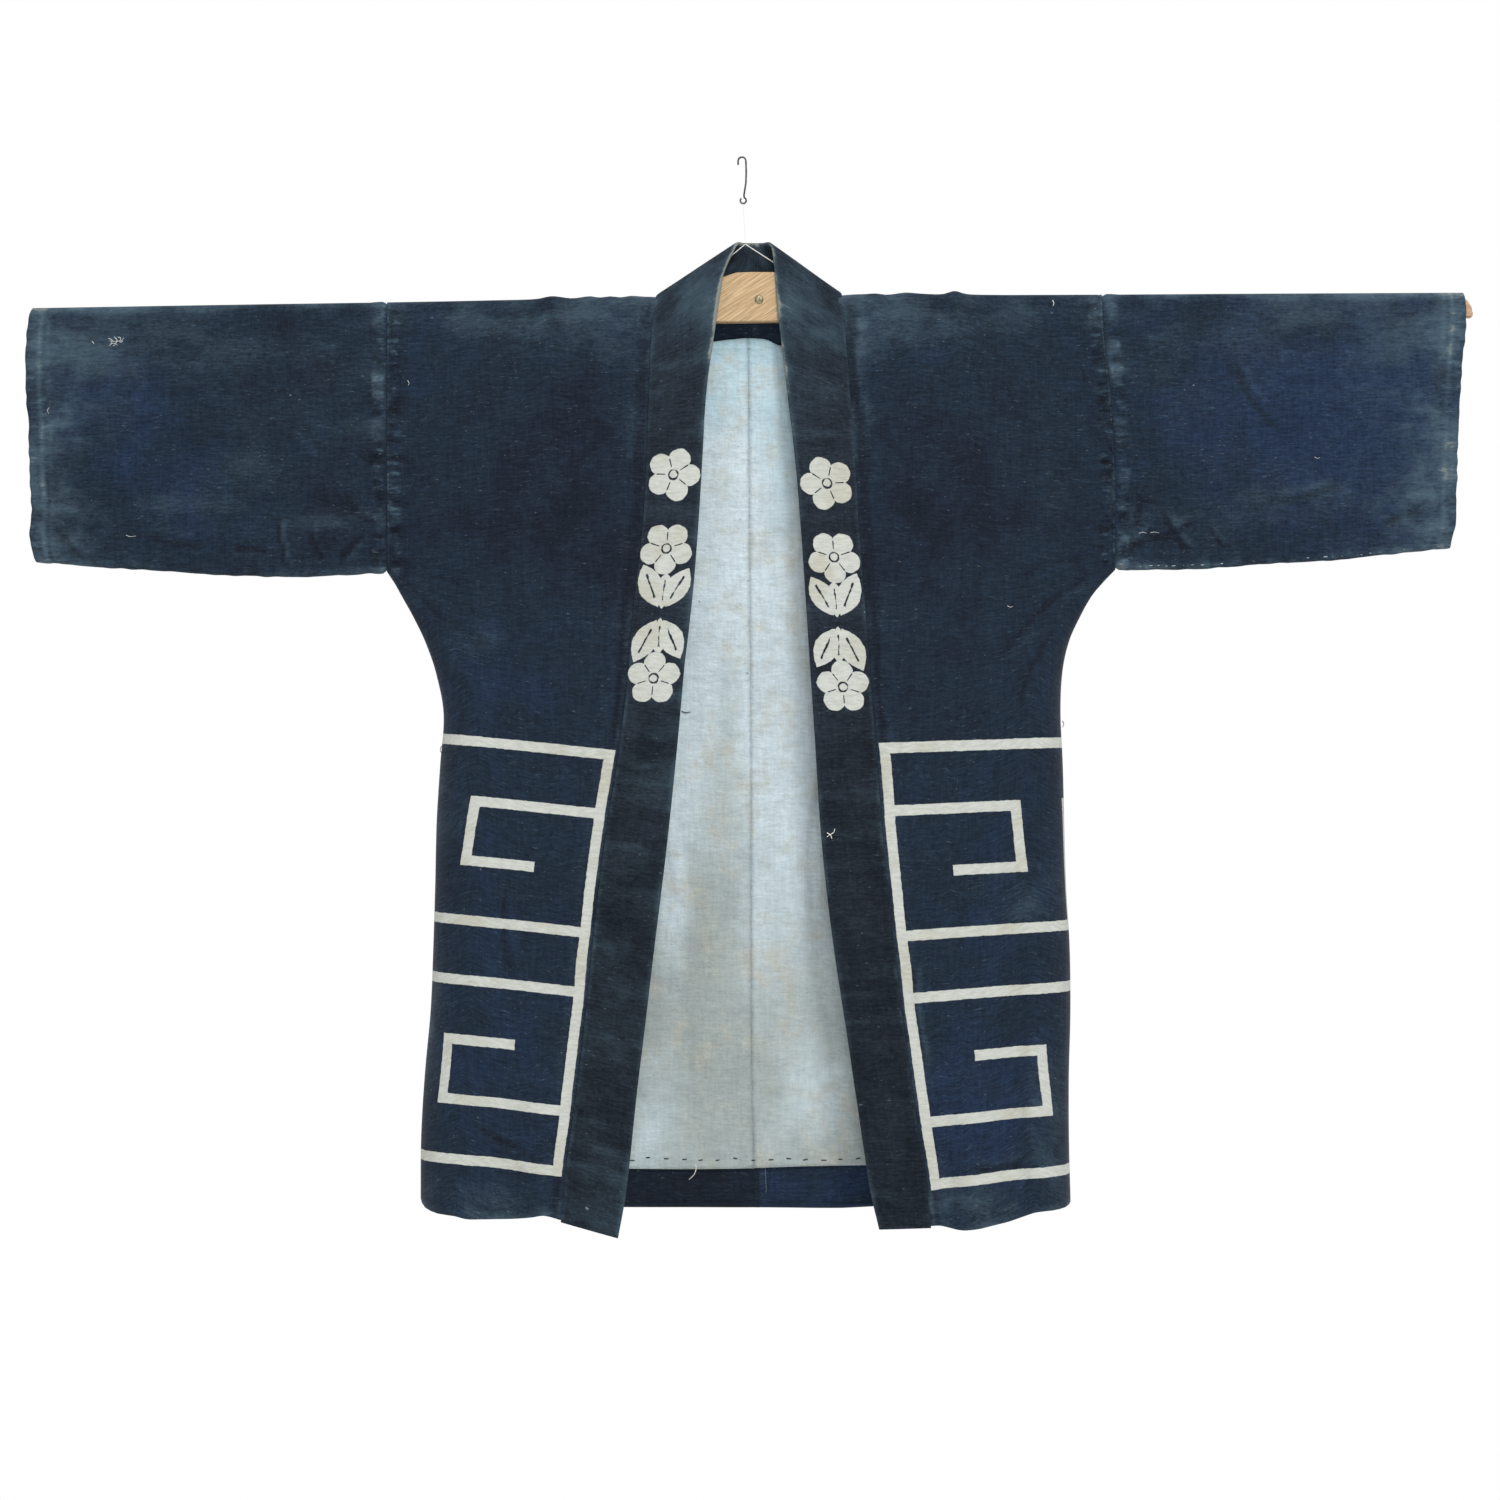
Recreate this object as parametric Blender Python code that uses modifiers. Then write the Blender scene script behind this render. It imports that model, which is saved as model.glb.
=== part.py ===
"""A happi coat hung flat on a wooden bar, with the thread and hook that it hangs from.

The coat is cut from loom widths of indigo cotton: two body panels, each one length folded over the
shoulder, two straight sleeves, one long doubled collar, and a pale lining in the back.

Sizes are in millimetres. x runs to the wearer's left, y from the front of the coat to its back, and
"down" is the distance below the inside of the hook's bend, which is the origin.
"""

import math

import bmesh
import bpy
import numpy as np

MM = 0.001
SIDES = (("right", -1), ("left", 1))  # the wearer's


class Table:
    """Rows of numbers under named columns, read as smooth curves over the first column."""

    def __init__(self, columns, *rows):
        self.columns = columns.split()
        self.rows = np.array(rows, float)

    def column(self, name):
        return self.rows[:, self.columns.index(name)]

    def at(self, name, key):
        keys, values = self.rows[:, 0], self.column(name)
        slopes = np.gradient(values, keys)
        key = np.clip(np.asarray(key, float), keys[0], keys[-1])
        i = np.clip(np.searchsorted(keys, key) - 1, 0, len(keys) - 2)
        step = keys[i + 1] - keys[i]
        t = (key - keys[i]) / step
        value = values[i] * (1 + 2 * t) * (1 - t) ** 2 + values[i + 1] * t * t * (3 - 2 * t)
        return value + step * t * (1 - t) * (slopes[i] * (1 - t) - slopes[i + 1] * t)


# ---- Wooden hanger -------------------------------------------------------------------------------
BAR_ENDS = (-610.0, 640.0)
BAR_DEPTH, BAR_HEIGHT = 7.0, 20.0
BAR_FRONT = 1.3
BAR_TOP = 124.3  # down, at x = 0
BAR_TILT = math.tan(math.radians(0.62))  # the wearer's left end hangs higher
BAR_BOW = 2.3  # how far the ends droop
BAR_REACH = 630.0
BAR_EDGE = 2.0
BAR_END_RADIUS = 16.0
BAR_STEPS = 12

BOARD_ENDS = (-182.0, 197.0)
BOARD_FRONT, BOARD_BACK = -9.0, 1.0
BOARD_RISE = 0.5  # its shoulders stand this far above the bar
BOARD_PEAK = (-5.0, 40.0)  # ends of the raised middle's flat top
BOARD_SLOPE_ENDS = (-68.0, 80.0)
BOARD_PEAK_DOWN, BOARD_BOTTOM_DOWN = 100.6, 144.3
BOARD_EDGE = 1.1
BOARD_CORNER = 7.0

SCREW_X, SCREW_DOWN = 14.9, 124.7
SCREW_HEAD, SCREW_SHANK = 3.8, 1.6  # radii

# ---- Cloth ---------------------------------------------------------------------------------------
WALL = 1.5  # shell cotton with its seam layers
LINING_WALL = 1.0
COLLAR_WALL = 3.2  # doubled band with its interlining
SEAM_GAP = 0.5
ARMHOLE_GAP = 0.9
COLLAR_GAP = 0.85
CREST_CLEAR = 1.7  # middle of the wall above the wood

# The fold over the hanger, as shares of its half depth and of FOLD_HEIGHT.
FOLD_HEIGHT = 6.0
FOLD = Table("across drop", (0.0, 0.0), (0.64, 0.06), (0.95, 0.42), (1.0, 1.0))

# Front and back of the fold: over the board, and over the bar alone.
RIDGE = Table(
    "reach front back",
    (0, -11.0, 10.4),
    (202, -11.0, 10.4),
    (228, -7.5, 10.8),
    (268, -3.6, 11.1),
    (300, -2.2, 11.2),
    (640, -2.2, 11.2),
)

# Small gathers where the shoulder cloth is caught on the board: x and height of each bump.
GATHER_WIDTH = 6.5
GATHERS = Table(
    "x height",
    (-167, 2.2),
    (-134, 1.6),
    (-115, 1.3),
    (-96, 1.6),
    (-82, 0.9),
    (102, 1.0),
    (115, 1.4),
    (141, 2.2),
    (164, 1.5),
    (186, 3.0),
)

# Body: how far the front and back sheets hang from the bar's plane, and the side seam between them.
HANG = Table(
    "down front back side",
    (120, -11.0, 10.4, 4.5),
    (135, -11.3, 10.6, 4.5),
    (200, -15.0, 11.6, 4.0),
    (300, -21.0, 12.8, 3.0),
    (365, -25.0, 13.6, 2.0),
    (450, -32.0, 15.0, -2.0),
    (600, -39.0, 17.0, -8.0),
    (750, -44.0, 18.5, -12.0),
    (930, -50.0, 20.0, -15.0),
)

# Outline of the body below the armholes, as the distance of each side from x = 0.
BODY_SIDE = Table(
    "down right left",
    (360, 310.4, 326.5),
    (379, 299.8, 308.6),
    (400, 288.0, 296.0),
    (424, 276.4, 285.2),
    (450, 267.4, 279.7),
    (475, 261.6, 278.0),
    (500, 260.0, 278.4),
    (545, 264.8, 280.5),
    (610, 266.6, 281.2),
    (690, 268.8, 285.4),
    (760, 272.0, 285.8),
    (818, 277.6, 284.2),
    (870, 279.6, 285.0),
    (930, 279.6, 286.6),
)
ARMHOLE_DOWN = {"right": 361.8, "left": 359.8}
SIDE_CORNER = 4.0  # radius of the seam at the armhole's foot
SIDE_ROUND = 31.0  # width of the body's rounded side at the hem
FULLNESS = Table(
    "down share",
    (360, 0.0),
    (385, 0.22),
    (420, 0.62),
    (460, 0.9),
    (500, 1.0),
    (930, 1.0),
)
HEM_DOWN = 908.5  # mean level of the hem at the side seams
HEM_FLAT = 0.88  # share of the hem's width that the flat run takes

# How the sheets leave the hanger: over these heights the crest's ripples fade and the sheet falls
# from the ridge to its hang, and over this width beside the board it stays off the bar.
RIPPLE_FADE = 60.0
SETTLE = 150.0
BOARD_FADE = 90.0
EDGE_TURN = 0.4  # share of the width where the sheet starts towards the side seam

# Lower edge of each sheet, by the share of its width from the inner edge to the side seam.
HEM = Table(
    "across front_right front_left back_right back_left",
    (0.0, 923.0, 928.6, 919.2, 919.2),
    (0.07, 920.4, 928.6, 919.0, 918.8),
    (0.14, 919.0, 930.2, 918.8, 918.2),
    (0.23, 920.6, 932.0, 918.6, 917.2),
    (0.38, 922.4, 930.8, 918.4, 916.2),
    (0.55, 923.0, 927.2, 918.2, 916.0),
    (0.7, 922.8, 923.4, 918.0, 916.0),
    (0.84, 921.2, 918.0, 916.6, 915.4),
    (0.94, 916.2, 914.4, 912.8, 913.0),
    (1.0, 908.5, 911.4, 908.5, 911.4),
)

# Shallow waves left in every hanging sheet: height, and pitch across and down.
SLACK = 0.7
SLACK_ACROSS = 150.0
SLACK_DOWN = 420.0

# The largest folds of the sheets: a line from top to bottom, half its width, and how far it stands
# out. A fold is fullest at its lower end or, where it "fades", at its top.
FOLDS = (
    # side, sheet, top x, top down, bottom x, bottom down, half width, height, fades
    ("right", "front", 176, 720, 171, 930, 15, 6.0, False),
    ("right", "front", 205, 640, 214, 930, 22, -5.0, False),
    ("right", "front", 232, 470, 246, 930, 20, 4.0, False),
    ("right", "front", 292, 385, 170, 560, 22, -4.0, True),
    ("right", "front", 110, 140, 140, 420, 22, -2.5, True),
    ("left", "front", 178, 760, 177, 930, 13, -7.0, False),
    ("left", "front", 204, 700, 198, 930, 20, 5.0, False),
    ("left", "front", 240, 480, 246, 930, 22, -4.5, False),
    ("left", "front", 98, 128, 116, 250, 9, -3.0, True),
    ("left", "front", 300, 385, 190, 560, 22, -4.0, True),
    ("right", "back", 60, 420, 66, 930, 26, 3.5, False),
    ("right", "back", 150, 380, 168, 930, 28, -4.0, False),
    ("right", "back", 285, 385, 190, 540, 22, 3.5, True),
    ("left", "back", 70, 460, 74, 930, 24, -3.5, False),
    ("left", "back", 170, 400, 182, 930, 30, 4.0, False),
    ("left", "back", 292, 385, 200, 540, 22, 3.5, True),
)

# ---- Collar --------------------------------------------------------------------------------------
# Distance from x = 0 of the collar's seam to the front, and of its free edge.
SEAM = Table(
    "down right left",
    (120, 74.9, 86.8),
    (160, 79.2, 90.6),
    (206, 81.1, 94.1),
    (273, 83.6, 99.0),
    (318, 86.0, 101.4),
    (389, 93.8, 106.6),
    (473, 101.0, 112.6),
    (522, 107.2, 116.6),
    (589, 117.6, 121.6),
    (672, 127.8, 130.0),
    (740, 134.6, 137.8),
    (819, 143.6, 148.0),
    (871, 151.0, 156.6),
    (932, 157.0, 163.6),
)
FREE_EDGE = Table(
    "down right left lean",
    (79, 5.4, 25.0, -2.0),
    (87, 12.2, 27.2, -1.4),
    (104, 16.0, 28.8, 0.0),
    (140, 21.8, 31.6, 1.4),
    (162, 25.0, 34.2, 2.0),
    (190, 29.2, 37.6, 2.6),
    (219, 32.0, 40.8, 3.0),
    (257, 34.0, 45.4, 3.6),
    (318, 37.6, 50.6, 4.0),
    (394, 43.8, 55.8, 4.0),
    (442, 49.4, 58.8, 4.0),
    (500, 54.6, 62.6, 4.0),
    (607, 65.6, 69.8, 4.0),
    (695, 76.4, 80.2, 4.0),
    (763, 84.4, 90.6, 4.0),
    (819, 91.2, 98.8, 4.0),
    (864, 95.8, 105.4, 4.0),
    (898, 99.6, 110.6, 4.0),
    (940, 107.0, 120.4, 4.0),
)
COLLAR_FOOT = {"right": (926.0, 939.6), "left": (931.0, 932.0)}  # at the seam, at the free edge
COLLAR_PROUD = 0.8  # how far it stands out from the panel beside it
COLLAR_CROWN = 0.9
CROWN_FADE = 8.0
NECK = {"right": 75.4, "left": 87.4}
NECK_CENTRE_DOWN = 132.0  # the back neckline dips a little between its corners
NECK_GAP = 1.0
NECK_LEVEL = 130.0
COLLAR_TOP_DOWN = 73.7
COLLAR_TOP_CORNER = {"right": -1.8, "left": 21.6}  # x
COLLAR_TOP_BACK = 6.2  # y of the free edge behind the neck
TURN_MIDDLE = -1.5  # y of the free edge's turn
# The free edge over the top of its fold, from front to back.
TOP_TURN = Table(
    "inward y drop",
    (-4.4, -9.0, 7.0),
    (-2.4, -7.8, 3.0),
    (-0.9, -4.9, 0.9),
    (0.0, -1.5, 0.1),
    (0.9, 1.9, 0.0),
    (2.2, 4.6, 0.0),
    (4.4, 6.2, 0.0),
)
COLLAR_FAN_DOWN = 245.0  # above this level the band turns towards its fold
COLLAR_FAN_TOP = 82.0
COLLAR_STEPS = {"front": 21, "fan": 8, "back": 5}
COLLAR_ACROSS = 4

# ---- Lining --------------------------------------------------------------------------------------
LINING_TOP_DOWN = 159.0
LINING_FOOT = Table(
    "across right left",
    (0.0, 885.6, 885.4),
    (0.3, 886.6, 883.0),
    (0.6, 885.4, 882.6),
    (1.0, 885.0, 882.6),
)
LINING_GAP = 0.9
LINING_WIDTH = 0.86  # share of the back's flat width
LINING_ROWS, LINING_COLUMNS = 17, 9
CENTRE_SEAM = Table(
    "down x",
    (120, 5.0),
    (160, 5.2),
    (520, 7.8),
    (885, 10.6),
    (930, 12.4),
)

# ---- Sleeves -------------------------------------------------------------------------------------
# Armhole and cuff, as distances from x = 0, by the share of the sleeve's height.
ARMHOLE = Table(
    "drop right left",
    (0.0, 310.4, 314.8),
    (0.14, 310.4, 316.4),
    (0.35, 310.4, 321.6),
    (0.6, 310.4, 325.4),
    (1.0, 310.4, 326.5),
)
CUFF = Table(
    "drop right left",
    (0.0, 620.4, 630.6),
    (0.05, 624.2, 633.0),
    (0.1, 625.0, 632.8),
    (0.34, 623.4, 627.8),
    (0.5, 622.2, 625.8),
    (0.62, 621.6, 624.4),
    (0.8, 620.8, 623.2),
    (0.95, 620.0, 621.0),
    (1.0, 616.4, 619.0),
)
# Lower edge of the sleeve, by the share of its length from armhole to cuff.
SLEEVE_FOOT = Table(
    "along right left",
    (0.0, 361.8, 359.8),
    (0.12, 364.6, 359.9),
    (0.26, 366.0, 359.0),
    (0.44, 364.8, 355.0),
    (0.65, 361.0, 351.4),
    (0.85, 357.2, 345.6),
    (1.0, 353.0, 340.8),
)
SLEEVE_BELLY = 13.5  # half depth at mid height
SLEEVE_FOOT_RADIUS = 4.0
SLEEVE_MIDDLE = (4.5, 2.0)  # y at the crest and at the seam below
SLEEVE_STEPS = 11
SLEEVE_FOLDS = (
    # side, sheet, top x, top down, bottom x, bottom down, half width, height, fades
    ("right", "front", 330, 150, 380, 366, 22, 3.0, False),
    ("right", "front", 392, 320, 398, 366, 13, -3.5, False),
    ("right", "front", 470, 180, 450, 362, 30, -3.0, False),
    ("right", "front", 560, 150, 570, 360, 26, 2.5, False),
    ("left", "front", 345, 150, 400, 360, 22, 3.0, False),
    ("left", "front", 470, 150, 455, 356, 30, -3.5, False),
    ("left", "front", 560, 170, 540, 350, 26, 2.5, False),
    ("right", "back", 350, 150, 400, 366, 26, 3.0, False),
    ("right", "back", 520, 150, 500, 362, 30, -3.0, False),
    ("left", "back", 360, 150, 410, 360, 26, 3.0, False),
    ("left", "back", 530, 150, 510, 352, 30, -3.0, False),
)

# Rows of the cloth: the armhole's height in shares, then the body below it.
ARMHOLE_ROWS = (0.075, 0.155, 0.27, 0.4, 0.54, 0.68, 0.81, 0.92)
FOOT_ANGLES = (90.0, 55.0, 25.0, 0.0)  # round the seam at the armhole's foot
BODY_ROWS = (0.018, 0.042, 0.075, 0.115, 0.165, 0.23, 0.31, 0.4, 0.5, 0.6, 0.7, 0.8, 0.9, 1.0)
# Columns of each sheet, as shares of its flat run, closest where the shoulder is gathered.
FLAT_COLUMNS = (0.0, 0.045, 0.09, 0.13, 0.17, 0.21, 0.25, 0.315, 0.39, 0.44, 0.49, 0.6, 0.74, 0.88, 1.0)
ROUND_COLUMNS = 3
NECK_COLUMNS = 3

# ---- Thread and hook -----------------------------------------------------------------------------
THREAD = 0.45  # radius
THREAD_KNOT = (3.0, -1.5, 75.8)  # x, y, down
THREAD_FEET = (-44.0, 40.0)
THREAD_FOOT_Y = -3.0
THREAD_TURN = 1.2  # half width of the thread's bend at the knot
THREAD_LIFT = 0.4  # clear of the board
LOOP = 0.3
HOOK_WIRE = 0.8
HOOK_BEND = 2.6
HOOK_TIP_DOWN = 6.0
HOOK_STEM = ((3.7, 12.0), (3.4, 22.0), (1.7, 32.6))  # x, down
RING_CENTRE = (1.1, 37.2)
RING_RADIUS = 2.6
RING_RISE = 0.12  # y gained at each step round the ring
RING_START = 1.7

COLOURS = {
    # red, green, blue, roughness, metallic
    "indigo": (0.018, 0.028, 0.058, 0.92, 0.0),
    "indigo_collar": (0.020, 0.026, 0.042, 0.92, 0.0),
    "pale_blue": (0.45, 0.57, 0.63, 0.92, 0.0),
    "wood": (0.66, 0.44, 0.22, 0.62, 0.0),
    "thread": (0.85, 0.85, 0.83, 0.5, 0.0),
    "steel": (0.35, 0.35, 0.36, 0.35, 1.0),
}


def ease(t):
    t = np.clip(t, 0.0, 1.0)
    return t * t * (3 - 2 * t)


def blend(a, b, t):
    return a + (b - a) * t


# ---- Shape of the cloth --------------------------------------------------------------------------
def bar_top(x):
    return BAR_TOP - x * BAR_TILT + BAR_BOW * (x / BAR_REACH) ** 2


def board_lift(x):
    left, right = BOARD_ENDS
    return BOARD_RISE * ease((x - left + 8) / 8) * ease((right + 8 - x) / 8)


def gathers(x):
    spread = (np.asarray(x, float)[..., None] - GATHERS.column("x")) / GATHER_WIDTH
    return (GATHERS.column("height") * np.exp(-(spread**2))).sum(axis=-1)


def crest(x):
    """Down of the cloth's fold over the hanger."""
    return bar_top(x) - board_lift(x) - CREST_CLEAR - gathers(x)


def fold_height(folds, side, sheet, reach, down):
    """How far the cloth's slack and the named folds push a point out of its sheet."""
    total = SLACK * np.sin(2 * math.pi * (reach / SLACK_ACROSS + down / SLACK_DOWN))
    for fold_side, fold_sheet, top_x, top, foot_x, foot, half, height, fades in folds:
        if (fold_side, fold_sheet) != (side, sheet):
            continue
        t = np.clip((down - top) / (foot - top), 0.0, 1.0)
        line = blend(top_x, foot_x, t)
        strength = ease((down - top) / 60 + 0.15) * (1 - t) if fades else ease(t * 1.15)
        total = total + height * strength * np.exp(-(((reach - line) / half) ** 2))
    return total


def sleeve_half(drop, height):
    """Half depth of the sleeve's hanging tube at a distance below its crest."""
    ridge = (RIDGE.at("back", 400.0) - RIDGE.at("front", 400.0)) / 2
    t = np.clip((drop - FOLD_HEIGHT) / (height - FOLD_HEIGHT - SLEEVE_FOOT_RADIUS), 0.0, 1.0)
    belly = (SLEEVE_BELLY - ridge) * np.sin(math.pi * t**0.8) ** 1.3
    return blend(ridge, SLEEVE_FOOT_RADIUS, t) + belly


def sleeve_rows(top, foot):
    """Down and half depth of each row from the crest to the seam below."""
    height = foot - top
    ridge = sleeve_half(0.0, height)
    rows = [(top + FOLD_HEIGHT * d, ridge * a) for a, d in FOLD.rows]
    for share in ARMHOLE_ROWS:
        rows.append((top + height * share, float(sleeve_half(height * share, height))))
    for angle in FOOT_ANGLES:
        turn = math.radians(angle)
        rise = SLEEVE_FOOT_RADIUS * (1 - math.cos(turn))
        rows.append((foot - rise, SLEEVE_FOOT_RADIUS * math.sin(turn)))
    return rows


def sleeve_middle(drop_share):
    return blend(*SLEEVE_MIDDLE, drop_share)


ROWS_TO_ARMHOLE = len(FOLD.rows) + len(ARMHOLE_ROWS) + len(FOOT_ANGLES)
FIRST_HANGING = len(FOLD.rows) - 1


def armhole_edge(side):
    """Reach, half depth, middle and down of each row of the armhole."""
    top = float(crest(dict(SIDES)[side] * ARMHOLE.column(side)[0]))
    foot = ARMHOLE_DOWN[side]
    edge = []
    for down, half in sleeve_rows(top, foot):
        share = (down - top) / (foot - top)
        edge.append((float(ARMHOLE.at(side, share)), half, float(sleeve_middle(share)), down))
    return edge


def sheet_row(side, sheet, row, edge):
    """Points of one row of a body sheet, from its inner edge to the side seam."""
    sign = dict(SIDES)[side]
    out = -1 if sheet == "front" else 1
    flat = np.array(FLAT_COLUMNS)
    turn = np.radians(np.linspace(0, 90, ROUND_COLUMNS + 1))[1:]
    across = np.concatenate([flat, 1 + np.sin(turn)])
    hem_round = np.linspace(HEM_FLAT, 1, ROUND_COLUMNS + 1)[1:]
    hem_across = np.concatenate([flat * HEM_FLAT, hem_round])
    hem = HEM.at(f"{sheet}_{side}", hem_across)

    if row < ROWS_TO_ARMHOLE:
        reach_edge, half, middle, down_edge = edge[row]
        round_x, round_y = SIDE_CORNER, max(half, SIDE_CORNER)
        level = down_edge
        share = 0.0
    else:
        share = BODY_ROWS[row - ROWS_TO_ARMHOLE]
        level = blend(ARMHOLE_DOWN[side], HEM_DOWN, share)
        reach_edge, half = float(BODY_SIDE.at(side, level)), 0.0
        fullness = float(FULLNESS.at("share", level))
        middle = blend(edge[-1][2], float(HANG.at("side", level)), fullness)
        round_x = blend(SIDE_CORNER, SIDE_ROUND, fullness)
        full_y = abs(float(HANG.at(sheet, level)) - middle)
        round_y = blend(SIDE_CORNER, full_y, fullness)

    # Where the row runs: the fold's rows follow the crest, and the others hang from it.
    inner = NECK[side] + SEAM_GAP
    if sheet == "front" and row > FIRST_HANGING:
        if row >= ROWS_TO_ARMHOLE:
            level_at_seam = blend(ARMHOLE_DOWN[side], hem[0], share)
        else:
            level_at_seam = level
        inner = float(SEAM.at(side, level_at_seam)) + COLLAR_GAP
    reach = np.where(
        across <= 1,
        inner + (reach_edge - round_x - inner) * across,
        reach_edge - round_x + round_x * (across - 1),
    )
    top = crest(sign * reach)
    if row <= FIRST_HANGING:
        down = top + (edge[row][3] - edge[0][3])
    elif row < ROWS_TO_ARMHOLE:
        fade = ease((edge[row][3] - edge[FIRST_HANGING][3]) / RIPPLE_FADE)
        down = edge[row][3] + (top - edge[0][3]) * (1 - fade)
    else:
        down = blend(ARMHOLE_DOWN[side], hem, share)

    ridge = RIDGE.at(sheet, reach)
    if row <= FIRST_HANGING:
        crest_y = (RIDGE.at("front", reach) + RIDGE.at("back", reach)) / 2
        y = blend(crest_y, ridge, FOLD.rows[row][0])
        return np.stack([sign * reach, y, down], axis=1)

    hang = HANG.at(sheet, level)
    settle = ease((level - edge[FIRST_HANGING][3]) / SETTLE)
    near_board = ease((RIDGE.column("reach")[3] - reach) / BOARD_FADE)
    sheet_y = blend(ridge, hang, np.maximum(settle, near_board))
    edge_y = middle + out * round_y
    y = blend(sheet_y, edge_y, ease((np.minimum(across, 1) - EDGE_TURN) / (1 - EDGE_TURN)))
    lift = fold_height(FOLDS, side, sheet, reach, down)
    y = y + out * lift * ease((1 - across) / (1 - FLAT_COLUMNS[-2]))
    end_y = middle + out * half
    round_off = np.concatenate([np.zeros(len(flat)), 1 - np.cos(turn)])
    y = np.where(across > 1, blend(edge_y, end_y, round_off), y)
    return np.stack([sign * reach, y, down], axis=1)


def back_neck_row(side, main):
    """Points of the back between the centre seam and the neck, for a row of the back."""
    sign = dict(SIDES)[side]
    corner = main[0]
    hem = float(HEM.at(f"back_{side}", 0.0))
    dip = NECK_CENTRE_DOWN + NECK_GAP - crest_start(side)
    centre = float(CENTRE_SEAM.at("x", corner[2])) + sign * SEAM_GAP / 2
    points = []
    for j in range(NECK_COLUMNS):
        t = j / NECK_COLUMNS
        x = blend(centre, corner[0], t)
        down = corner[2] + dip * (1 - t**3) * ease((hem - corner[2]) / (hem - crest_start(side)))
        y = float(HANG.at("back", down)) + fold_height(FOLDS, side, "back", sign * x, down)
        points.append((x, y, down))
    return points


# ---- Meshes --------------------------------------------------------------------------------------
def metres(points):
    points = np.asarray(points, float)
    return np.stack([points[:, 0], points[:, 1], -points[:, 2]], axis=1) * MM


def cloth_object(name, points, quads, wall, colour):
    """An open surface given its thickness, half to each side."""
    mesh = bpy.data.meshes.new(name)
    mesh.from_pydata([tuple(p) for p in metres(points)], [], quads)
    form = bmesh.new()
    form.from_mesh(mesh)
    bmesh.ops.recalc_face_normals(form, faces=form.faces)
    form.to_mesh(mesh)
    form.free()
    obj = bpy.data.objects.new(name, mesh)
    COAT.objects.link(obj)
    mesh.materials.append(material(colour))
    mesh.shade_smooth()
    shell = obj.modifiers.new("wall", "SOLIDIFY")
    shell.thickness = wall * MM
    shell.offset = 0.0
    shell.use_even_offset = True
    shell.use_rim = True
    return obj


def grid_quads(rows, columns, closed=False):
    """Faces between the rows of a grid, whose rows may be rings."""
    quads = []
    for row in range(rows - 1):
        for c in range(columns if closed else columns - 1):
            a, b = row * columns + c, row * columns + (c + 1) % columns
            quads.append((a, b, b + columns, a + columns))
    return quads


def material(name):
    found = bpy.data.materials.get(name)
    if found:
        return found
    red, green, blue, roughness, metallic = COLOURS[name]
    made = bpy.data.materials.new(name)
    made.use_nodes = True
    shader = made.node_tree.nodes["Principled BSDF"]
    shader.inputs["Base Color"].default_value = (red, green, blue, 1.0)
    shader.inputs["Roughness"].default_value = roughness
    shader.inputs["Metallic"].default_value = metallic
    made.diffuse_color = (red, green, blue, 1.0)
    return made


def body_panel(side):
    """One loom width: the front, the fold over the shoulder, and the back, sewn at the side."""
    edge = armhole_edge(side)
    rows = ROWS_TO_ARMHOLE + len(BODY_ROWS)
    points, index = [], {}

    def keep(key, point):
        index[key] = len(points)
        points.append(point)

    last = len(FLAT_COLUMNS) + ROUND_COLUMNS - 1
    for row in range(rows):
        front = sheet_row(side, "front", row, edge)
        back = sheet_row(side, "back", row, edge)
        for c, (f, b) in enumerate(zip(front, back)):
            keep(("front", row, c), f)
            joined = row == 0 or (c == last and row >= ROWS_TO_ARMHOLE - 1)
            if joined:
                index["back", row, c] = index["front", row, c]
            else:
                keep(("back", row, c), b)
        if row >= FIRST_HANGING:
            for j, point in enumerate(back_neck_row(side, back)):
                keep(("back", row, j - NECK_COLUMNS), point)

    quads = []
    for row in range(rows - 1):
        for sheet in ("front", "back"):
            first = -NECK_COLUMNS if sheet == "back" and row >= FIRST_HANGING else 0
            for c in range(first, last):
                corners = ((row, c), (row, c + 1), (row + 1, c + 1), (row + 1, c))
                quads.append([index[sheet, r, k] for r, k in corners])
    return cloth_object(f"panel_{side}", points, quads, WALL, "indigo")


def sleeve(side):
    """A straight tube of cloth, open at the armhole and at the cuff."""
    sign = dict(SIDES)[side]
    points = []
    for step in range(SLEEVE_STEPS + 1):
        along = step / SLEEVE_STEPS
        start = ARMHOLE.column(side)[0] + ARMHOLE_GAP
        x_top = blend(start, CUFF.column(side)[0], along)
        top = float(crest(sign * x_top))
        foot = float(SLEEVE_FOOT.at(side, along))
        rows = sleeve_rows(top, foot)
        ring = []
        for sheet, out in (("front", -1), ("back", 1)):
            for down, half in rows if out < 0 else rows[-2:0:-1]:
                share = (down - top) / (foot - top)
                armhole = float(ARMHOLE.at(side, share)) + ARMHOLE_GAP
                reach = blend(armhole, float(CUFF.at(side, share)), along)
                lift = fold_height(SLEEVE_FOLDS, side, sheet, reach, down) * ease(half / 6 - 0.6)
                lift = lift * ease(along * 8)
                y = sleeve_middle(share) + out * (half + lift)
                ring.append((sign * reach, y, down))
        points.extend(ring)
    quads = grid_quads(SLEEVE_STEPS + 1, len(ring), closed=True)
    return cloth_object(f"sleeve_{side}", points, quads, WALL, "indigo")


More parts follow.
